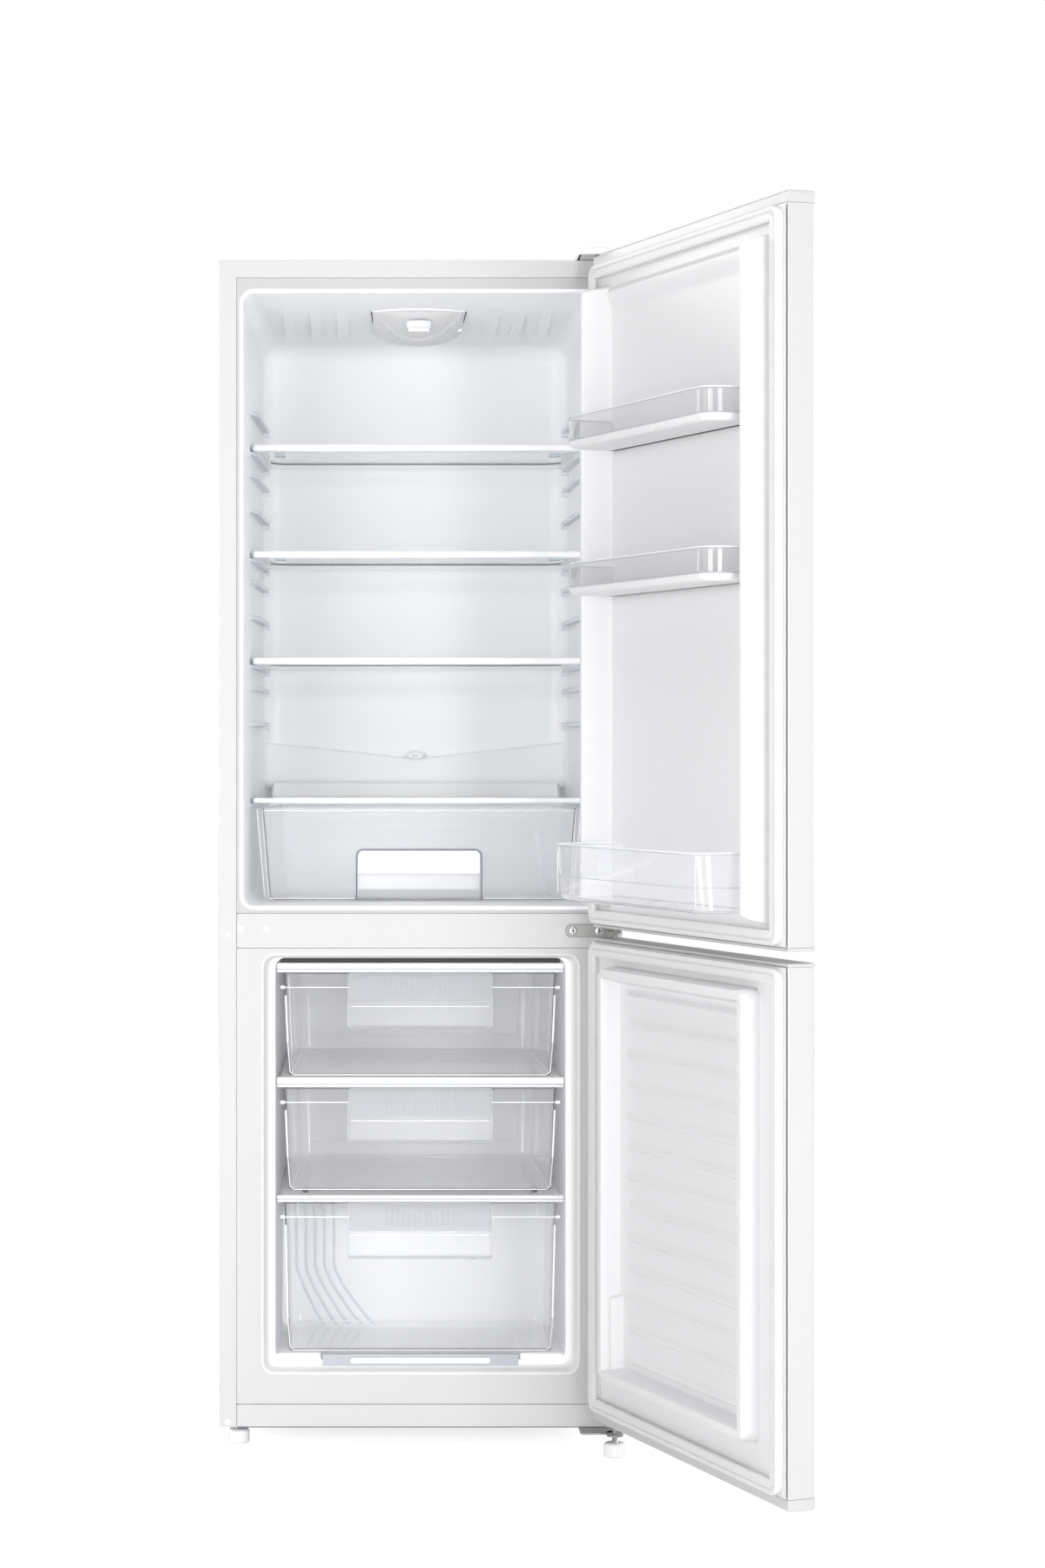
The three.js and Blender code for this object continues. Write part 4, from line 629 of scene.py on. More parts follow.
freezerLand, freezerRebate, freezerCavity = freezerLiner()
floorPads = [softBox(x0, x1, 21, 188, 112, 127.4, 4) for x0, x1 in ((-197, -136), (136, 197))]
for name, parts, look, *stands in (
        ("freezerLand", [freezerLand], "freezerLand"),
        # painted shade: the rebate is the liner plastic, given the darker gasket grey
        ("freezerRebate", [freezerRebate], "seal"),
        ("freezerLiner", [freezerCavity], "liner", "freezer_liner"),
        ("compressorStep", [softSlab(stepOutline, -201, 201, 5, onX)], "liner"),
        # painted shade: the channels are liner plastic drawn in the shade grey
        ("frostChannels", [frostChannel(k) for k in range(channels["count"])], "shade"),
        ("freezerPads", floorPads, "liner"),
        # painted shadow: a thin blue-grey plate over the step's face, between the floor pads
        ("floorShade", [softBox(-134, 134, 17.2, 24, 110.8, 127.0, 0.6)], "floorShade"),
        ("floorBar", [softBox(-96, 96, 14.9, 17, 114.5, 122.0, 0.9, 3.6, onY)], "plastic")):
    makePiece(name, parts, look, "cabinet", "liner_plastic", *stands)
print("freezer compartment done")

# front rails and screw plugs
plugs = {"places": ((-210.0, 709.0), (-245.0, 709.0), (-263.0, 703.0), (-263.0, 38.0)), "radius": 4.2}


def frontRail(low, high):
    # a bar between the side flanges, its face level with them
    half = cabinet["half"] - cabinet["flange"] - 0.3
    return softBox(-half, half, 0, cabinet["railDepth"], low, high, 1.2, 1.4, onY)


def plug(x, z):
    # a low round cap, spun about a line that runs front to back
    r = plugs["radius"]
    return turned([(0, 0.6), (r, 0.6), (r, -0.5), (r - 0.7, -1.3), (0, -1.7)], (x, 0, z), 24, "y")


base = cabinet["base"]
makePiece("midRail", [frontRail(cabinet["railLow"], cabinet["railHigh"])], "enamel", "cabinet", "enamel",
          "mid_rail")
makePiece("kickRail", [frontRail(base, cabinet["kickHigh"])], "enamel", "cabinet", "enamel", "kick_rail")
# painted shadow: a dark line along the foot of the kick rail
kickShadowLine = softBox(-250, 250, -0.25, 3, base - 0.6, base + 0.9, 0.2, 0.5, onX)
makePiece("kickShadowLine", [kickShadowLine], "darkLine", "cabinet", "enamel")
makePiece("screwPlugs", [plug(x, z) for x, z in plugs["places"]], "plastic", "cabinet", "white_plastic")
print("front rails done")

# shelves and the crisper's cover, which is a shelf with a thinner frame
shelves = {
    "tops": (1382.0, 1232.5, 1083.0), "front": 126.0, "back": 404.0, "half": 233.0, "backHalf": 224.0,
    "radii": (4, 26, 26, 4), "trimHeight": 10.0, "trimDepth": 13.0, "glass": 4.0, "glassFront": 127.0,
    "railFront": 134.0, "slots": (-198, 198),
}
cover = {"top": 886.1, "trimHeight": 7.7, "ledge": 17.0, "ledgeHalf": 213.0}


def shelfOutline(by, front):
    # outline seen from above: straight front, sides that close in, round far corners
    s = shelves
    loop = roundedLoop(by - s["half"], s["half"] - by, front + by, s["back"] - by, s["radii"], 6)
    loop[:, 0] *= 1 - (1 - s["backHalf"] / s["half"]) * (loop[:, 1] - s["front"]) / (s["back"] - s["front"])
    return loop


def shelfGlass(top):
    # a pane with soft edges: the shelf's outline moved in, so that it lies on the frame's lip
    return softSlab(shelfOutline(5.5, shelves["glassFront"]), top - shelves["glass"], top, 0.8)


def shelfFrame(top, height):
    # a bar with a round nose in front, and a low rail round the sides and back with a lip round the glass
    h, y, low, lip = shelves["half"], shelves["front"], top - height, height - 0.2
    nose = softBox(-h, h, y, y + shelves["trimDepth"], low, top, 3.0, 3.2, onX, 4)
    profile = [(-2.4, 0), (2.2, 0), (3.0, 0.8), (3.0, lip - 0.6), (2.4, lip), (1.0, lip), (0.6, height - 4.4),
               (-6.5, height - 4.6), (-7.0, height - 5.2), (-7.0, height - 7), (-3.2, height - 7.4)]
    path = onZ(shelfOutline(3.2, shelves["railFront"]), low)
    return [nose, carried(profile, path, (0, 0, 1), closedPath=True)]


def rearLine(by, z, radius):
    # a line round the far end of a shelf, this far inside its outline
    loop = shelfOutline(by, shelves["railFront"])
    rear = loop[loop[:, 1] > 340]
    return bead(onZ(rear[np.argsort(-rear[:, 0])], z), radius)


def shelfMarks(top, height):
    # painted shade lines: the seam under the front bar, the far edge of the rail and the bar's end caps
    h, y, low = shelves["half"], shelves["front"], top - height
    caps = [softBox(x0, x1, y - 0.3, y + shelves["trimDepth"], low + 0.6, top - 0.4, 1.2, 2.6, onX)
            for x0, x1 in ((-h - 0.4, -h + 2.6), (h - 2.6, h + 0.4))]
    seam = bead([(3 - h, y + 0.6, low + 0.3), (h - 3, y + 0.6, low + 0.3)], 0.55)
    return [seam, rearLine(0.8, low + 0.4, 0.6), *caps]


def stopSlots(top):
    # a flat block under the glass near each side
    return [softBox(x - 8, x + 8, 236, 264, top - 6.4, top - 4.3, 0.6) for x in shelves["slots"]]


def coverLedge():
    # raised ledge with sloping ends at the back of the cover, and painted shade lines at its ends
    h, top, high, y = cover["ledgeHalf"], cover["top"], cover["top"] + cover["ledge"], shelves["back"] - 14
    outline = np.array([(-h, top - 2), (h, top - 2), (h - 2, high), (-h + 2, high)])
    ends = [bead([(side * (h + 1), y, top), (side * (h - 1), y, high)], 1.0) for side in (-1, 1)]
    return softSlab(outline, y + 1, y + 11, 2.0, onY), ends


for number, top in enumerate(shelves["tops"], 1):
    body, height = f"shelf_{number}", shelves["trimHeight"]
    makePiece(f"shelfGlass{number}", [shelfGlass(top)], "glass", body, "shelf_glass", f"shelf_{number}_glass")
    makePiece(f"shelfTrim{number}", shelfFrame(top, height), "plastic", body, "white_plastic",
              f"shelf_{number}_frame")
    # painted shade: a dark line along the far edge of the glass
    makePiece(f"shelfGlassEdge{number}", [rearLine(11.6, top - 4.6, 0.8)], "darkLine", body, "shelf_glass")
    makePiece(f"shelfMarks{number}", shelfMarks(top, height) + stopSlots(top), "shade", body, "white_plastic")
top, height = cover["top"], cover["trimHeight"]
ledge, ledgeEnds = coverLedge()
for name, parts, look, slotName, *stands in (
        ("crisperCoverGlass", [shelfGlass(top)], "glass", "shelf_glass", "crisper_cover_glass"),
        ("crisperCoverTrim", shelfFrame(top, height), "plastic", "white_plastic", "crisper_cover_frame"),
        # painted highlight: the ledge takes a lighter copy of the white plastic
        ("crisperCoverLedge", [ledge], "edge", "white_plastic"),
        ("crisperCoverMarks", shelfMarks(top, height), "shade", "white_plastic"),
        ("crisperLedgeSides", ledgeEnds, "shade", "white_plastic")):
    makePiece(name, parts, look, "crisper_cover", slotName, *stands)
print("shelves done")


# open bins: crisper and drawers
def planLoop(halfFront, halfBack, y0, y1, rFront, rBack):
    # outline seen from above that closes in evenly from halfFront to halfBack
    loop = roundedLoop(-halfFront, halfFront, y0, y1, (rFront, rBack, rBack, rFront), 6)
    loop[:, 0] *= 1 - (1 - halfBack / halfFront) * (loop[:, 1] - y0) / (y1 - y0)
    return loop


def openBin(low, high, z0, z1, wall, bottomEdge, lip=2.5):
    # outside from the floor up, over a small rolled rim, and down inside to the floor
    def level(z):
        # the outline at this height, in a straight share between the lowest and the highest
        return low + (high - low) * (z - z0) / (z1 - z0)

    curve, rim, floor = quarter(bottomEdge, 4), level(z1), z0 + wall
    rows = [(level(z0), by, z0 + rise) for by, rise in curve]
    rows += [(level(z), 0, z) for z in np.linspace(z0 + bottomEdge, z1 - lip - 1, 5)[1:]]
    rows += [(rim, -0.6 * out, z1 - lip + 0.4 * (lip - left)) for left, out in quarter(lip, 4)[1:]]
    rows += [(rim, -0.3 * lip, z1), (rim, 0.6 * wall, z1), (rim, wall, z1 - 0.8)]
    rows += [(level(z), wall, z) for z in np.linspace(z1 - 4, floor + bottomEdge, 5)]
    rows += [(level(floor), wall + by, floor + left) for left, by in curve[1:]]
    return stacked([onZ(inset(loop, by) if by else loop, z) for loop, by, z in rows])


def arch(half, low, top, radius, steps):
    # open outline: up the right side, round both corners of the top and down the left side
    bend = quarter(radius, steps)
    return np.array([(half, low), *[(half - by, top - left) for left, by in bend],
                     *[(left - half, top - by) for left, by in bend], (-half, low)])


crisper = {
    "front": 118.0, "back": 360.0, "low": 743.5, "top": 872.3, "half": 228.0, "lowHalf": 217.0, "wall": 2.4,
    "panel": 3.0, "gripHalf": 86.5, "gripTop": 813.0, "gripRadius": 8.0, "barHeight": 32.0, "reach": 22.0,
    "lowPlan": (210, 190, 18.0, 24), "highPlan": (221, 196, 0.0, 26),
}


def gripArch(by):
    # arch of the grip's recess in the crisper's front, grown by this distance
    c = crisper
    return arch(c["gripHalf"] + by, c["low"], c["gripTop"] + by, c["gripRadius"] + by, 6)


def crisperFront():
    # flat front with the arch cut out of it: one outline that runs round the panel and the arch
    c = crisper
    h, hl, low, top, grip, r = c["half"], c["lowHalf"], c["low"], c["top"], c["gripHalf"], 5.0
    outer = np.array([(-grip, low), (-hl + r, low), (-hl - 0.3, low + r), (-h, top - 3), (-h + 3, top),
                      (h - 3, top), (h, top - 3), (hl + 0.3, low + r), (hl - r, low), (grip, low)])
    outline = np.concatenate([outer[::-1], gripArch(0)[::-1][1:-1]])
    return softSlab(outline, c["front"], c["front"] + c["panel"], 0.7, onY, 2)


def gripPocket():
    # walls of the recess: the arch carried backwards, closed at its far end
    front, wall = crisper["front"] + 0.5, crisper["wall"]
    far = crisper["front"] + crisper["reach"]
    profile = [(0.0, front), (0.0, far), (wall, far), (wall, front)]
    return [carried(profile, onY(gripArch(0), 0), (0, 1, 0)),
            softSlab(gripArch(wall), far - 0.2, far + 2.2, 0.5, onY, 2)]


def crisperBody():
    # bin between two outlines, rows of (half in front, half at the back, short of the back, back radius)
    c = crisper
    low, high = (planLoop(front, back, c["front"] + 1, c["back"] - short, 8, radius)
                 for front, back, short, radius in (c["lowPlan"], c["highPlan"]))
    return openBin(low, high, c["low"], c["top"], c["wall"], 6)


def crisperLines():
    # painted highlights, as bright lines: at each side the far corner and the front corner outside and
    # inside, then the far edge of the floor, the rim, the foot left and right of the arch, and two waves on
    # the far wall
    c = crisper
    y, low, top, half, lowHalf = c["front"] + 0.7, c["low"], c["top"], c["half"], c["lowHalf"]
    foot, grip = low + 2, c["gripHalf"] + 4
    rows = [([(-186, 343, low + 7), (186, 343, low + 7)], 0.8),
            ([(-218, y, top - 4), (218, y, top - 4)], 0.6)]
    for side in (-1, 1):
        rows += [([(side * 193, 350, low + 9), (side * 193.6, 352, low + 104)], 1.9),
                 ([(side * (lowHalf - 1), y, low + 5), (side * (half - 1), y, top - 3)], 0.8),
                 ([(side * (lowHalf - 6), 126, low + 6), (side * (half - 8), 126, top - 6)], 0.7),
                 ([(side * 210, y, foot), (side * grip, y, foot)], 0.8)]
    wave = np.linspace(-1, 1, 25)
    for drop, sag in ((13, 3.0), (30, 5.0)):
        rows.append((np.stack([wave * 150 + 10, np.full(25, 344.0), top - drop - sag * wave ** 2], 1), 0.5))
    return beads(*rows)


def gripPanel():
    # hazy panel that shows under the grip's bar
    c = crisper
    h, y = c["gripHalf"] - 1.5, c["front"] + c["reach"] - 2
    return softBox(-h, h, y - 1.5, y, c["low"] + 14, c["gripTop"] - c["barHeight"], 0.6, 1.5, onY)


def gripBar():
    # white bar across the top of the arch: its face carried backwards, round at the top corners
    c = crisper
    h, top = c["gripHalf"] - 1.0, c["gripTop"] - 1.0
    face = roundedLoop(-h, h, top - c["barHeight"], top, (1.5, 7, 7, 1.5), 6)
    return softSlab(face, c["front"] - 0.6, c["front"] + 4, 1.0, onY)


makePiece("crisperBin", [crisperBody(), crisperFront(), *gripPocket()], "clear", "crisper", "clear_plastic",
          "crisper_bin", 50)
makePiece("crisperLines", crisperLines(), "edge", "crisper", "clear_plastic")
# painted shade: a dark outline round the grip's arch
archShade = bead(onY(gripArch(1.0), crisper["front"] - 0.4), 0.85)
makePiece("crisperArchShade", [archShade], "darkLine", "crisper", "clear_plastic")
makePiece("crisperGripPanel", [gripPanel()], "milk", "crisper", "clear_plastic")
makePiece("crisperGrip", [gripBar()], "plastic", "crisper", "white_plastic", "crisper_handle")

drawers = {
    "levels": ((505.6, 647.8, 400.0, 1.0), (348.5, 490.0, 400.0, 6.0), (127.8, 332.4, 240.0, 0.0)),
    "front": 33.0, "half": 186.5, "lowHalf": 181.0, "wall": 2.4, "pinch": 0.94, "runners": (-158, 158),
    "handleHalf": 97.5, "handle": 38.0, "finger": 38.0, "reach": 10.0, "fins": np.linspace(-46, 46, 13),
}


def drawerBody(z0, z1, back):
    # the two long drawers close in towards the back
    d = drawers
    pinch = 1.0 if back < 300 else d["pinch"]
    low, high = (planLoop(half, half * pinch, d["front"], back - short, 7, radius)
                 for half, short, radius in ((d["lowHalf"], 9, 16), (d["half"], 0, 18)))
    return openBin(low, high, z0, z1 - 2, d["wall"], 5)


def fingerPocket(z1):
    # box behind the handle that keeps the fingers apart from the food: rows are (outline, inset, y)
    d = drawers
    h, y0, y1 = d["handleHalf"] + 2, d["front"] - 0.6, d["front"] + 20
    outline = roundedLoop(-h, h, z1 - d["handle"] - d["finger"] - 2, z1 - 5, 4, 4)
    inner = inset(outline, 2.2)
    rows = [(inner, 1.5, y1 - 2.2), (inner, 0, y1 - 4), (inner, 0, y0 + 0.4), (inner, -0.4, y0),
            (outline, 0.4, y0), (outline, 0, y0 + 0.4), (outline, 0, y1 - 2), (outline, 1.6, y1)]
    return stacked([onY(inset(loop, by) if by else loop, y) for loop, by, y in rows])


def drawerStrip(z1):
    # the handle: a strip in front with small upright fins, and the shelf that joins it to the drawer
    d = drawers
    front, h, low = d["front"] - d["reach"], d["handleHalf"], z1 - d["handle"]
    return [softBox(-h, h, front, front + 2.6, low, z1 + 1, 1.0, 2.5, onY),
            softBox(-h, h, front + 1, d["front"] + 1, z1 - 7, z1 - 4.2, 0.8),
            *[softBox(x - 1.1, x + 1.1, front - 0.9, front + 1, low + 5, z1 - 4, 0.6) for x in d["fins"]]]


def drawerLines(z0, z1, back):
    # painted highlights, as bright beads along the edges of the moulding: foot, pocket and far edge, then at
    # each side the rail under the rim, the front corner, the rail's end and the round at the foot
    d = drawers
    h, hl, grip, y = d["half"] - 1.2, d["lowHalf"] - 1.2, d["handleHalf"], d["front"] - 0.2
    rail, foot, near, pocket = z1 - 20.2, z0 + 1.8, y + 0.4, d["front"] + 18
    long = back > 300
    farEdge = [(-146, back - 12, z0 + 24), (138, back - 12, z0 + 24)]
    if not long:
        farEdge = [(8 - hl, back - 14, z0 + 6), (hl - 8, back - 14, z0 + 6)]
    rows = [([(6 - hl, near, foot), (hl - 6, near, foot)], 0.7), (farEdge, 0.8),
            ([(2 - grip, pocket, z1 - 48), (grip - 2, pocket, z1 - 48)], 0.7)]
    for side in (-1, 1):
        rows += [([(side * h, y, rail), (side * (grip + 1), y, rail)], 0.8),
                 ([(side * (h - 0.6), y, z1 - 31), (side * (hl + 2), y, z0 + 46)], 1.4),
                 ([(side * (h + 6.5), y + 1, rail), (side * (h + 0.5), y + 1, rail)], 2.4, 12),
                 ([(side * (hl - 6), near, foot), (side * (hl - 1), near, z0 + 6),
                   (side * (hl + 2), near, z0 + 46)], 0.6)]
        if long:
            rows.append(([(side * 158 - 8, back - 12, z0 + 24), (side * 162 - 8, back - 10, z1 - 30)], 0.9))
    return beads(*rows)


def pocketShade(z1):
    # painted shade: a darker outline of the pocket behind the handle
    d = drawers
    h = d["handleHalf"] + 2
    path = onY(roundedLoop(-h, h, z1 - d["handle"] - d["finger"] - 2, z1 - 34, 4, 4), d["front"] + 19.0)
    return bead(np.concatenate([path, path[:1]]), 0.55)


for number, (low, high, back, runner) in enumerate(drawers["levels"], 1):
    parts = [drawerBody(low, high, back), fingerPocket(high)]
    if runner:
        parts += [softBox(x - 4, x + 4, 55, back - 30, low - runner, low + 1, 0.4)
                  for x in drawers["runners"]]
    body = f"drawer_{number}"
    makePiece(f"drawer{number}", parts, "clear", body, "clear_plastic", f"freezer_drawer_{number}", 50)
    makePiece(f"drawerLines{number}", drawerLines(low, high, back), "edge", body, "clear_plastic")
    makePiece(f"drawerPocketShade{number}", [pocketShade(high)], "tint", body, "clear_plastic")
    makePiece(f"drawerStrip{number}", drawerStrip(high), "frosted", body, "clear_plastic")
print("bins done")

# evaporator shelves of the freezer, and the air gap over the top one
evaporator = {
    "trims": ((648.1, 661.4), (490.3, 504.3), (332.7, 342.2)), "half": 197.8, "front": 30.0, "back": 425.0,
    "pipes": 9, "pipeRadius": 4.0, "firstPipe": 95.0, "lastPipe": 395.0, "reach": 128.0, "sunk": 5.5,
}
airGap = {"half": 192, "low": 661.6, "high": 669.5, "fins": (np.arange(62) - 30.5) * 6.1}


def evaporatorShelf(low, high):
    # a bar with a round nose in front, and a thin plate behind it
    h, front = evaporator["half"], evaporator["front"]
    return [softBox(-h, h, front, front + 12, low, high, 3.2, 3.4, onX, 4),
            softBox(6 - h, h - 6, front + 8, evaporator["back"] - 2, high - 3, high - 0.2, 0.8)]


def trimGroove(low):
    # a fine dark line along the face of the bar, the painted shade of a groove
    h, front = evaporator["half"] - 0.5, evaporator["front"]
    return softBox(-h, h, front - 0.25, front + 3, low + 3.6, low + 5.4, 0.2, 0.4, onX)


def frostCoil(high):
    # one tube laid to and fro under the plate, half sunk into it
    e = evaporator
    rows = np.linspace(e["firstPipe"], e["lastPipe"], e["pipes"])
    bend, reach = (rows[1] - rows[0]) / 2, e["reach"]
    points = []
    for k, y in enumerate(rows):
        side = 1 if k % 2 == 0 else -1
        points += [(-side * reach, y), (side * reach, y)]
        if k < len(rows) - 1:
            points += [(side * (reach + bend * sin(a)), y + bend * (1 - cos(a)))
                       for a in np.linspace(0, pi, 9)[1:-1]]
    return piped(onZ(points, high - e["sunk"]), e["pipeRadius"], 10)


for number, (low, high) in enumerate(evaporator["trims"], 1):
    makePiece(f"evaporatorShelf{number}", evaporatorShelf(low, high), "plastic", "cabinet", "white_plastic",
              f"evaporator_shelf_{number}")
    makePiece(f"trimGroove{number}", [trimGroove(low)], "tint", "cabinet", "white_plastic")
    makePiece(f"frostCoil{number}", [frostCoil(high)], "zinc", "cabinet", "white_plastic")
half, low, high = airGap["half"], airGap["low"], airGap["high"]
# painted shadow: a dark plate where the air gap over the top shelf lies in shade
makePiece("airGap", [softBox(-half, half, 33, 35, low, high, 0.5)], "dark", "cabinet", "white_plastic")
makePiece("airGapFins", [softBox(x - 1.2, x + 1.2, 31, 34, low, high - 1, 0.4) for x in airGap["fins"]],
          "blackPlastic", "cabinet", "white_plastic")
print("evaporator shelves done")

# lamp unit, dial and door switch
lamp = {
    "front": 117.0, "back": 290.0, "half": 65.0, "bulge": 20.0, "low": 1557.0, "deepest": 0.71, "sag": 27.0,
    "below": 2.5, "step": 1.6,
    "rim": ((-0.3, 1574.0), (-0.3, 1569.2), (0.4, 1568.6), (1.6, 1570.0), (1.6, 1574.0)),
    "slot": ((139, 1569.0), (206, 1563.5)), "dot": [(0, 1), (1.1, 1), (1.1, -0.4), (0.7, -0.9), (0, -1.0)],
}
dial = {"middle": 148.0, "radius": 18.0, "tooth": 0.45, "teeth": 36}
switch = {
    "middle": (0, 41, 1464),
    "button": [(0, 227.2), (3.0, 227.2), (3.8, 228.0), (4.0, 229.5), (4.0, 245), (0, 245)],
    "collar": [(4.3, 236.5), (8, 236.5), (9, 238), (9, 242), (4.3, 242)],
}


def boatEdge(u):
    # the front edge of the unit bulges forwards in its middle
    return lamp["front"] + lamp["bulge"] * u * u


def boatSeam(u):
    # where the lens meets the skirt, as a share of the way back
    return 0.5 * (1 - (u / 0.92) ** 2)


def boatAt(u, t):
    # skin of a shallow boat under the ceiling, u across it and t along it: it sags as a quarter sine to its
    # deepest place and back up behind it, and as a half circle across
    deep, edge = lamp["deepest"], boatEdge(u)
    y = edge + t * (lamp["back"] - edge)
    sag = np.where(t < deep, np.sin(pi / 2 * t / deep), np.cos(pi / 2 * (t - deep) / (1 - deep)))
    return y, ceilingAt(y) - lamp["below"] - lamp["sag"] * sag * np.sqrt(1 - u * u)


def lampDome():
    # the boat, with a step where the lens meets the skirt, and a rim round it that follows the ceiling
    across = np.linspace(-1, 1, 61)
    u, t = np.meshgrid(across, np.linspace(0, 1, 41), indexing="ij")
    y, z = boatAt(u, t)
    step = smoothStep(t - boatSeam(u), -0.02, 0.02) * smoothStep(1 - np.abs(u), 0.02, 0.1)
    z = z - lamp["step"] * step * smoothStep(1 - t, 0.05, 0.2)
    half, back = lamp["half"], lamp["back"]
    edge = np.concatenate([np.stack([across * half, boatEdge(across)], 1), [[half, back], [-half, back]]])
    rings = [onZ(inset(edge, by), height) for by, height in lamp["rim"]]
    for ring in rings:
        ring[:, 2] += ceilingAt(ring[:, 1]) - ceilingAt(lamp["front"])
    return sheet(np.stack([u * half, y, z], -1), (0, 0, -1)), stacked(rings)


def lampMarks():
    # rows of small raised dots along the skirt
    dots = []
    for u in [side * (0.42 + 0.05 * k) for side in (-1, 1) for k in range(9)]:
        y, z = boatAt(u, boatSeam(u) + 0.10)
        dots.append(turned(lamp["dot"], (u * lamp["half"], y, z - lamp["step"]), 10))
    return dots


def lampSlot(side):
    # painted shadow: a dark line in the gap between the unit and the ceiling
    x, (near, far) = side * (lamp["half"] + 1.6), lamp["slot"]
    return bead([(x, *near), (x - side * 2, *far)], 0.8)


def lampLens():
    # the front crescent of the boat, a little below the skirt
    u, share = np.meshgrid(np.linspace(-0.9, 0.9, 49), np.linspace(0.02, 1, 17), indexing="ij")
    y, z = boatAt(u, share * boatSeam(u))
    edge = np.clip(np.minimum(share, 1 - share) * 8, 0, 1)
    return sheet(np.stack([u * lamp["half"], y, z - 2.2 * edge * (1 - (u / 0.9) ** 4)], -1), (0, 0, -1))


def dialKnob():
    # ribbed edge, flat face and a raised grip bar: the rows are (share of the radius, distance down)
    top, middle = lamp["low"] - 0.3, dial["middle"]
    angle = np.linspace(0, 2 * pi, 144, endpoint=False)
    ribbed = dial["radius"] + dial["tooth"] * np.sign(np.sin(angle * dial["teeth"]))
    circle = np.stack([ribbed * np.cos(angle), ribbed * np.sin(angle)], 1)
    rows = [(0.2, 0), (0.97, 0), (1.0, 0.8), (0.92, 8), (0.88, 9), (0.2, 9)]
    knob = stacked([onZ(circle * share + (0, middle), top - down) for share, down in rows])
    return [knob, softBox(-15, 15, middle - 2.8, middle + 2.8, top - 14, top - 6, 1.6, 2.6)]


button = turned(switch["button"], switch["middle"], 24, "x")
collar = turned(switch["collar"], switch["middle"], 28, "x")
for name, parts, look, body, slotName, *stands in (
        ("lampMarks", lampMarks(), "tint", "cabinet", "white_plastic"),
        ("lampSlots", [lampSlot(-1), lampSlot(1)], "dark", "cabinet", "white_plastic"),
        ("lampHousing", lampDome(), "doorLiner", "cabinet", "white_plastic", "lamp_housing"),
        ("lampLens", [lampLens()], "seal", "cabinet", "frosted_plastic", "lamp_lens"),
        ("thermostatDial", dialKnob(), "support", "dial", "white_plastic", "thermostat_dial"),
        ("doorSwitch", [button], "plastic", "switch", "white_plastic", "door_switch_button"),
        ("switchCollar", [collar], "liner", "cabinet", "liner_plastic")):
    makePiece(name, parts, look, body, slotName, *stands)
print("lamp unit done")

# doors: steel with a cap at each end, foam, a liner on the back and a gasket on its flange
door = {
    "front": -49.85, "back": -12.85, "flange": -10.55, "gasketHalf": 257.5, "gasketBack": -10.25,
    "gasketFront": -0.45, "capOver": 1.0, "capEdge": 3.2,
    "upper": {"low": 714.55, "high": 1621.0, "marginLow": 6.3, "marginHigh": 17.0},
    "lower": {"low": 48.0, "high": 700.15, "marginLow": 17.0, "marginHigh": 6.3},
}
upperPanel = {"low": 745.0, "high": 1572.5, "half": 238.5, "dyke": 37.5, "sunk": -6.0, "ramp": 12.5}
lowerPanel = {
    "low": 116.5, "high": 667.0, "half": 209.0, "corner": 16.0, "frame": 24.5, "ribMiddle": 391.75,
    "pitch": 40.0, "rib": 6.0, "block": 15.0, "blockMiddle": 179.5,
}
# lines of the liners' meshes: even spacing of the heights, then where they lie closer, across as (distance
# from the middle, reach, spacing) and upwards as (height, reach, spacing)
linerLines = {
    "upper": (11, ((236.5, 4, 0.5), (218, 12, 1.2)),
              [(745, 14, 1.2), (1572, 14, 1.2), (780, 30, 3), (1540, 30, 3)]),
    "lower": (2.2, ((207, 4, 0.6), (191, 6, 0.8), (178, 9, 1.5)),
              [(118.5, 4, 0.6), (136, 6, 0.8), (665, 4, 0.6), (648, 6, 0.8), (129, 4, 0.7), (230.5, 4, 0.7)]),
}


def doorSkin(low, high):
    # the folded steel: one outline carried from the lower cap to the upper one
    half = cabinet["half"]
    outline = roundedLoop(-half, half, door["front"], door["back"], (5, 1.6, 1.6, 5), 5)
    return stacked([onZ(outline, low), onZ(outline, high)])


def doorCap(low, high, outerLow):
    # moulded end cap a little proud of the steel, with the larger quarter round at its outer end
    half, span = cabinet["half"] + door["capOver"], high - low
    front = door["front"] - door["capOver"]
    outline = roundedLoop(-half, half, front, door["back"] + 0.3, (6, 2.4, 2.4, 6), 5)
    big = quarter(min(door["capEdge"], span * 0.45), 4)
    rows = quarter(0.6, 4) + [(by, span - rise) for by, rise in big[::-1]]
    if outerLow:
        rows = [(by, span - z) for by, z in rows[::-1]]
    return stacked([onZ(inset(outline, by), low + z) for by, z in rows])


def doorGasket(low, high):
    # bellows carried round the door: two soft ribs with a groove between them, on a flat foot
    half, back, front = door["gasketHalf"], door["gasketBack"], door["gasketFront"]
    rows = [(-9, back), (-9, back + 1.2), (-7.4, back + 1.6), (-7.4, back + 3.2), (-9, back + 4.2),
            (-9, front - 1.2), (-8.2, front - 0.3), (-6.5, front), (-3.4, front), (-2.6, front - 1.6),
            (-1.4, front - 1.6),
            (-0.6, front), (5.8, front), (8.2, front - 0.5), (9, front - 1.4), (8.8, back + 4.4),
            (6.6, back + 3.2), (6.6, back + 1.8), (9, back + 1.2), (9, back)]
    path = onY(roundedLoop(-half, half, low + 9, high - 9, 6, 5), 0)
    return carried(rows, path, (0, 1, 0), closedPath=True)


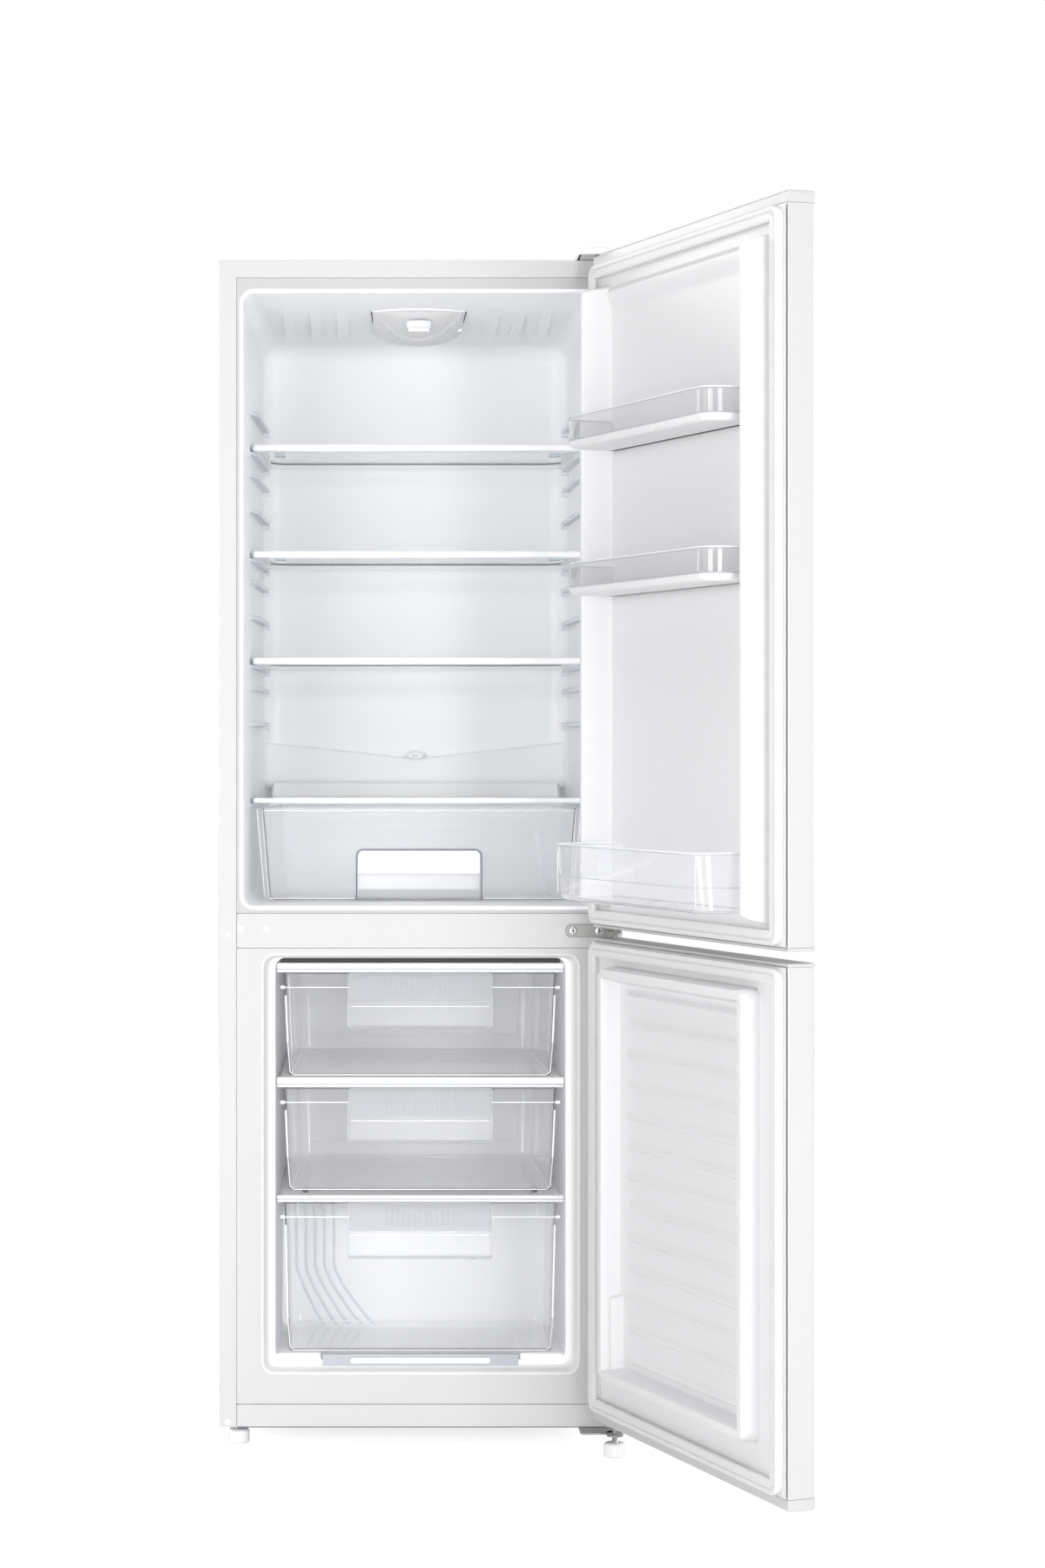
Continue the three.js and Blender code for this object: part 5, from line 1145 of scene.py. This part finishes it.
def upperHeight(x, z):
    # raised dykes at both sides with round ends, and a sunk panel between them with a soft ramp at the top:
    # smooth steps of the distance from sides and ends, multiplied; the higher of dyke and panel counts
    p, across = upperPanel, np.abs(x)
    inside = np.minimum(z - p["low"], p["high"] - z)
    ends = np.sin(np.clip(inside / 12.0, 0, 1) * pi / 2)
    inner = smoothStep(across, 210.5, 226)
    dyke = p["dyke"] * smoothStep(p["half"] - across, 0, 4.5) * inner * ends
    sunk = smoothStep(236 - across, 0, 14) * smoothStep(inside, 1, 10)
    ramp = 1 - smoothStep(p["high"] - z, 8, 58)
    panel = p["sunk"] * sunk + p["ramp"] * sunk * ramp * smoothStep(p["half"] - across, 3, 30)
    crown = 1 - 0.10 * smoothStep(np.abs(across - 229), 2, 9)
    return door["flange"] + np.maximum(dyke * crown, panel * (1 - inner * ends))


def lowerHeight(x, z):
    # raised frame all round, from smooth steps of the distance inside a rectangle with round corners; ribs
    # with one soft and one steep flank, bell curves of the height over the nearest one; and a block at the
    # low hinge corner
    p, corner = lowerPanel, lowerPanel["corner"]
    side, end = p["half"] - np.abs(x), np.minimum(z - p["low"], p["high"] - z)
    rounded = corner - np.hypot(np.maximum(corner - side, 0), np.maximum(corner - end, 0))
    inside = np.where((side < corner) & (end < corner), rounded, np.minimum(side, end))
    rim = p["frame"] * smoothStep(inside, 0, 3.8) * (1 - smoothStep(inside, 14.5, 23))
    deep = smoothStep(inside, 26, 36)
    wave = (z - p["ribMiddle"]) / p["pitch"]
    rise = (wave - np.round(wave)) * p["pitch"]
    rib = np.where(rise > 0, np.exp(-(rise / 7.0) ** 2), np.exp(-(rise / 1.8) ** 2)) * p["rib"]
    reach = 1 - smoothStep(np.abs(x + 12 * (np.round(wave) % 2)), 150, 172)
    block = p["block"] * smoothStep(x, 176, 182) * (1 - smoothStep(np.abs(z - p["blockMiddle"]), 49, 53))
    return door["flange"] + np.maximum(rim, np.maximum(rib * deep * reach, block * (inside > 14)))


def doorLiner(which, low, high):
    # a sheet whose height over the flange is the door's height function
    half, (step, across, upwards) = cabinet["half"] - 1.2, linerLines[which]
    xs = gridLines(-half, half, 9, [(s * place, reach, gap) for s in (-1, 1) for place, reach, gap in across])
    x, z = np.meshgrid(xs, gridLines(low - 1, high + 1, step, upwards), indexing="ij")
    height = (upperHeight if which == "upper" else lowerHeight)(x, z)
    return sheet(np.stack([x, height, z], -1), (0, 1, 0))


def doorFoam(low, high):
    # a block with soft edges that fills the steel
    half = cabinet["half"] - 2
    return softBox(-half, half, door["front"] + 1.2, door["back"] - 0.6, low, high, 1.5)


for which in ("upper", "lower"):
    part, body = door[which], f"{which}_door"
    low, high = part["low"] + part["marginLow"], part["high"] - part["marginHigh"]
    for label, shape, look, slotName, node, sharp in (
            ("Foam", doorFoam(low + 2, high - 2), "foam", "foam", "foam", 38),
            ("Skin", doorSkin(low - 2, high + 2), "enamel", "enamel", "skin", 38),
            ("TopCap", doorCap(high + 2.3, part["high"], False), "cap", "white_plastic", "top_cap", 38),
            ("BottomCap", doorCap(part["low"], low - 2.3, True), "cap", "white_plastic", "bottom_cap", 38),
            ("Liner", doorLiner(which, low, high), "doorLiner", "liner_plastic", "liner", 60),
            ("Gasket", doorGasket(low, high), "seal", "seal", "gasket", 38)):
        makePiece(f"{which}Door{label}", [shape], look, body, slotName, f"{body}_{node}", sharp)
print("doors done")

# door racks
rack = {
    "half": 208.3, "back": -13.75, "reach": 62.0, "radius": 24.0, "wall": 2.5, "floors": (1351.0, 1158.0),
    "tray": 9.7, "band": 31.0, "bottleFloor": 757.5, "bottleTop": 830.0, "bottleReach": 80.0, "taper": 8.0,
    "divider": 81.0,
}


def rackOutline(reach, radius):
    # seen from above: nearly square at the door, round in front
    return roundedLoop(-rack["half"], rack["half"], rack["back"], reach, (0.8, radius, radius, 0.8), 10)


def rackTray(floor):
    # floor plate with a low rolled edge and a shallow well: rows are (inset, height over the floor)
    outline, top = rackOutline(rack["reach"], rack["radius"]), rack["tray"]
    rows = [(9.0 * by, 8.2 * rise) for by, rise in quarter(1, 7)]
    rows += [(0, top - 0.8), (0.8, top), (3.4, top), (4.2, top - 0.8), (4.8, 3.5)]
    return stacked([onZ(inset(outline, by), floor + z) for by, z in rows])


def bandPath(reach, by):
    # from one rear end round the front to the other, seen from above
    return arch(rack["half"] - by, rack["back"] + 0.8, reach - by, rack["radius"] - by, 10)


def clearBand(low):
    # the clear wall of a rack, with a bead along its rim
    w, high = rack["wall"] / 2, low + rack["band"]
    rows = [(-w, low + 0.5), (-w + 0.5, low), (w - 0.5, low), (w, low + 0.5), (w, high - 4),
            (w + 1.2, high - 2.6), (w + 1.4, high - 1), (w + 0.6, high), (-w + 0.4, high), (-w, high - 0.5)]
    return carried(rows, onZ(bandPath(rack["reach"], w), 0), (0, 0, 1))


def bottleRack():
    # bin from a shorter outline at its foot to a longer one with rounder corners at its rim
    foot, rim = rackOutline(rack["bottleReach"] - rack["taper"], 22), rackOutline(rack["bottleReach"], 26)
    return openBin(foot, rim, rack["bottleFloor"], rack["bottleTop"], rack["wall"], 4, 2.0)


def rackLines(low, high, reach):
    # painted highlights: a bright line along the rolled rim, and an upright line in the middle of each front
    # corner
    x, y = rack["half"] - rack["radius"] * 0.29, reach - rack["radius"] * 0.29
    return beads((onZ(bandPath(reach, 0.2), high + 0.2), 0.75),
                 *(([(side * x, y, low + 3), (side * x, y, high - 3)], 0.4) for side in (-1, 1)))


def rackShade(low, high, reach):
    # painted shade: thin grey lines under the rim, along the foot and at both ends
    path, x, y = bandPath(reach, -0.3), rack["half"] + 0.2, rack["back"] + 1.2
    return beads(*((onZ(path, z), 0.4) for z in (high - 1.6, low + 0.8)),
                 *(([(side * x, y, low), (side * x, y, high)], 0.7) for side in (-1, 1)))


def bottleDivider():
    # clip seen from the side: a tongue in the bottle rack that hooks over its rim
    low, high, x = rack["bottleFloor"] + 23, rack["bottleTop"], rack["divider"]
    outline = np.array([(20, low), (68, low), (75.5, high + 0.4), (80.6, high + 0.4), (80.6, high - 8),
                        (83, high - 8), (83, high + 2.5), (74, high + 8), (38, high + 8), (20, high - 12)])
    return softSlab(outline, x - 1.5, x + 1.5, 0.6, onX, 2)


for name, floor in zip(("upper", "middle"), rack["floors"]):
    body, low = f"{name}_rack", floor + rack["tray"] + 0.3
    high, reach = low + rack["band"], rack["reach"]
    # the trays take the darker door-liner colour, a painted shade for their undersides
    makePiece(f"{name}RackTray", [rackTray(floor)], "doorLiner", body, "white_plastic", f"{body}_tray")
    makePiece(f"{name}RackLines", rackLines(low, high, reach), "edge", body, "clear_plastic")
    makePiece(f"{name}RackShade", rackShade(low, high, reach), "tint", body, "clear_plastic")
    makePiece(f"{name}RackBand", [clearBand(low)], "rackClear", body, "clear_plastic", f"{body}_band", 50)
low, high, reach = rack["bottleFloor"], rack["bottleTop"], rack["bottleReach"]
makePiece("bottleRackLines", rackLines(low + 6, high, reach), "edge", "bottle_rack", "clear_plastic")
makePiece("bottleRackShade", rackShade(low + 30, high, reach), "tint", "bottle_rack", "clear_plastic")
makePiece("bottleRack", [bottleRack()], "clear", "bottle_rack", "clear_plastic", "bottle_rack", 50)
makePiece("bottleDivider", [bottleDivider()], "clear", "divider", "clear_plastic", "bottle_divider", 50)
print("door racks done")

# hinges, screws and feet
hardware = {
    "screws": (207.6, 243.0), "height": 707.35, "head": -3.6, "recess": -6.15,
    "axis": (hinge["x"], hinge["y"], 0),
    "headRows": [(0, 0.2), (6.0, 0.2), (6.0, -0.6), (5.4, -1.5), (4.0, -2.2), (2.2, -2.4), (0, -2.5)],
    "midPin": [(0, 689.2), (3.2, 689.2), (4, 690), (4, 724.8), (3.2, 725.6), (0, 725.6)],
    "footRows": ((0.3, 0), (0.86, 0), (0.96, 1), (1, 3), (1, 15), (0.95, 17.5), (0.82, 19), (0.3, 19)),
    "feet": {"left": (-250, 50, 30.6), "right": (hinge["x"], hinge["y"], 27.3)}, "stud": 18,
}


def topBracket():
    # plate on top of the cabinet, and the pin that reaches down from it into the upper door
    top = cabinet["top"] + 0.3
    pin = turned([(0, 1610), (3.4, 1610), (4, 1610.8), (4, top + 1), (0, top + 1)], hardware["axis"], 24)
    return [softBox(216.65, 268, -48, 44, top, top + 3, 0.8, 8), pin]


def topCover():
    # a hollow cap: rows run from under its top down the inside, and up the outside over a quarter round
    top, low = cabinet["top"] + 9, cabinet["top"] + 0.3
    outline = roundedLoop(211.65, 274, -53, 50, 10, 6)
    rows = [(5, top - 2), (2, top - 4), (2, low), (0, low)] + [(by, top - left) for left, by in quarter(5, 5)]
    return stacked([onZ(inset(outline, by), z) for by, z in rows])


def midBracket():
    # plate on the rail, tongue forwards from it, and the pin of both doors
    z = hardware["height"]
    plate = softSlab(roundedLoop(197.3, 267.6, z - 8.8, z + 8.8, (2, 2, 8.5, 8.5), 6), -3.3, -0.3, 0.8, onY)
    tongue = softBox(251.6, 271.6, -46, -0.5, z - 1.5, z + 1.5, 0.7, 6)
    return [plate, tongue, turned(hardware["midPin"], hardware["axis"], 24)]


def screwCross(x):
    # two crossed dark bars, painted shade in the screw's cross recess; rows of (half width, half height)
    z, y = hardware["height"], hardware["recess"]
    return [softBox(x - wide, x + wide, y - 0.05, y + 0.3, z - high, z + high, 0.1, 0.4, onY, 1)
            for wide, high in ((3.1, 0.65), (0.65, 3.1))]


def bottomBracket():
    # plate under the cabinet, its nose in front, and the pin that reaches up into the lower door
    low = cabinet["base"] - 3.3
    pin = turned([(0, low + 1), (4, low + 1), (4, 58), (3.2, 59), (0, 59)], hardware["axis"], 24)
    return [softBox(215.65, 271, -34.5, 70, low, low + 3, 0.8, 8),
            softBox(250, 273, -52, -20, low, low + 3, 0.8, 10), pin]


def footPad(x, y):
    # round foot with 24 ribs, cosine waves on its radius: rows are (share of the radius, height)
    angle = np.linspace(0, 2 * pi, 72, endpoint=False)
    circle = np.stack([np.cos(angle), np.sin(angle)], 1) * (15 + 0.35 * np.cos(angle * 24))[:, None]
    return stacked([onZ(circle * share + (x, y), z) for share, z in hardware["footRows"]])


def footStud(x, y, top):
    # threaded stud: its radius goes up and down along its height
    low = hardware["stud"]
    turns = np.linspace(low, top, 2 * int(top - low) + 1)
    thread = [(3.6 + 0.4 * (k % 2), z) for k, z in enumerate(turns)]
    return turned([(0, low), *thread, (0, top)], (x, y, 0), 20)


makePiece("topHinge", topBracket(), "enamel", "cabinet", "zinc_steel", "top_hinge_bracket")
makePiece("topHingeCover", [topCover()], "plastic", "cabinet", "white_plastic", "top_hinge_cover")
makePiece("midHinge", midBracket(), "zinc", "cabinet", "zinc_steel", "mid_hinge_bracket")
for number, x in enumerate(hardware["screws"], 1):
    head = turned(hardware["headRows"], (x, hardware["head"], hardware["height"]), 32, "y")
    makePiece(f"hingeScrew{number}", [head], "screw", "cabinet", "screw_steel", f"mid_hinge_screw_{number}")
    makePiece(f"screwRecess{number}", screwCross(x), "dark", "cabinet", "screw_steel")
makePiece("bottomHinge", bottomBracket(), "zinc", "cabinet", "zinc_steel", "bottom_hinge_bracket")
for side, (x, y, top) in hardware["feet"].items():
    makePiece(f"{side}Foot", [footPad(x, y)], "plastic", f"{side}_foot", "white_plastic", f"foot_{side}")
    makePiece(f"{side}FootStud", [footStud(x, y, top)], "screw", f"{side}_foot", "white_plastic")
print("hinges and feet done")

# nodes that keep their solid shape
solidLooks = {
    "cabinet_foam": "foam", "back_panel": "galvanised", "base_pan": "galvanised", "compressor": "black",
    "relay_box": "blackPlastic", "condenser": "black", "drip_tray": "blackPlastic", "drain_tube": "plastic",
    "lamp_bulb": "opal",
}
for node, look in solidLooks.items():
    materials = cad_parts[node].data.materials
    materials.clear()
    materials.append(finishes[look])
print("carried-over nodes finished")

# studio: floor, soft lamps and a white surround; lamps are (place, target, size, power)
studio = {
    "world": 0.3, "floorGlow": 0.72, "floorHalf": 6, "floorColour": (0.97, 0.97, 0.97, 1),
    "white": (1, 1, 1, 1),
    "lamps": {
        "left": ((-2000, -4300, 900), (0, 0, 850), 1.8, 86.0),
        "right": ((2000, -4400, 900), (0, 0, 850), 1.8, 106.0),
        "key": ((-3000, -1900, 1900), (200, -200, 900), 1.8, 14.0),
        "top": ((0, -1500, 4200), (0, -900, 0), 3.4, 64.0),
        "side": ((3600, 700, 1500), (0, 0, 900), 2.2, 46.0),
        "backLeft": ((-2900, 2900, 1800), (0, 300, 800), 2.2, 120.0),
        "backRight": ((2600, 3100, 1800), (0, 300, 800), 2.2, 66.0),
    },
}


def makeSurround():
    # soft even light from all sides, seen as plain white by the camera and through clear parts
    world = bpy.data.worlds.new("studio")
    bpy.context.scene.world = world
    world.use_nodes = True
    tree = world.node_tree
    ambient = tree.nodes["Background"]
    setInputs(ambient, {"Color": studio["white"], "Strength": studio["world"]})
    white = addNode(tree, "ShaderNodeBackground", {"Color": studio["white"]})
    ray = addNode(tree, "ShaderNodeLightPath")
    seen = addNode(tree, "ShaderNodeMath", operation="MAXIMUM")
    mix = addNode(tree, "ShaderNodeMixShader")
    join(tree, (ray, "Is Camera Ray", seen, 0), (ray, "Is Transmission Ray", seen, 1), (seen, 0, mix, "Fac"),
         (ambient, 0, mix, 1), (white, 0, mix, 2), (mix, 0, tree.nodes["World Output"], "Surface"))


def makeFloor():
    # a dull white square that glows a little for the camera only
    half = studio["floorHalf"]
    mesh = bpy.data.meshes.new("floor")
    corners = [(-half, -half, 0), (half, -half, 0), (half, half, 0), (-half, half, 0)]
    mesh.from_pydata(corners, [], [(0, 1, 2, 3)])
    plate = bpy.data.objects.new("floor", mesh)
    bpy.context.scene.collection.objects.link(plate)
    material = bpy.data.materials.new("floor")
    material.use_nodes = True
    tree = material.node_tree
    shader = tree.nodes["Principled BSDF"]
    setInputs(shader, {"Base Color": studio["floorColour"], "Roughness": 0.95, "Specular IOR Level": 0.1,
                       "Emission Color": studio["white"]})
    ray = addNode(tree, "ShaderNodeLightPath")
    glow = addNode(tree, "ShaderNodeMath", {1: studio["floorGlow"]}, operation="MULTIPLY")
    join(tree, (ray, "Is Camera Ray", glow, 0), (glow, 0, shader, "Emission Strength"))
    mesh.materials.append(material)
    return plate


def softLamp(name, place, target, size, power):
    # a square lamp that looks at its target
    data = bpy.data.lights.new(name, "AREA")
    data.energy, data.size = power, size
    lampObject = bpy.data.objects.new(name, data)
    lampObject.location = Vector((np.array(place) + rowShift) / 1000)
    aim = Vector((np.array(target) + rowShift) / 1000) - lampObject.location
    lampObject.rotation_euler = aim.to_track_quat("-Z", "Y").to_euler()
    bpy.context.scene.collection.objects.link(lampObject)


makeSurround()
floor = makeFloor()
for name, settings in studio["lamps"].items():
    softLamp(name, *settings)
bpy.context.scene.view_settings.view_transform = "Standard"
print("studio ready")
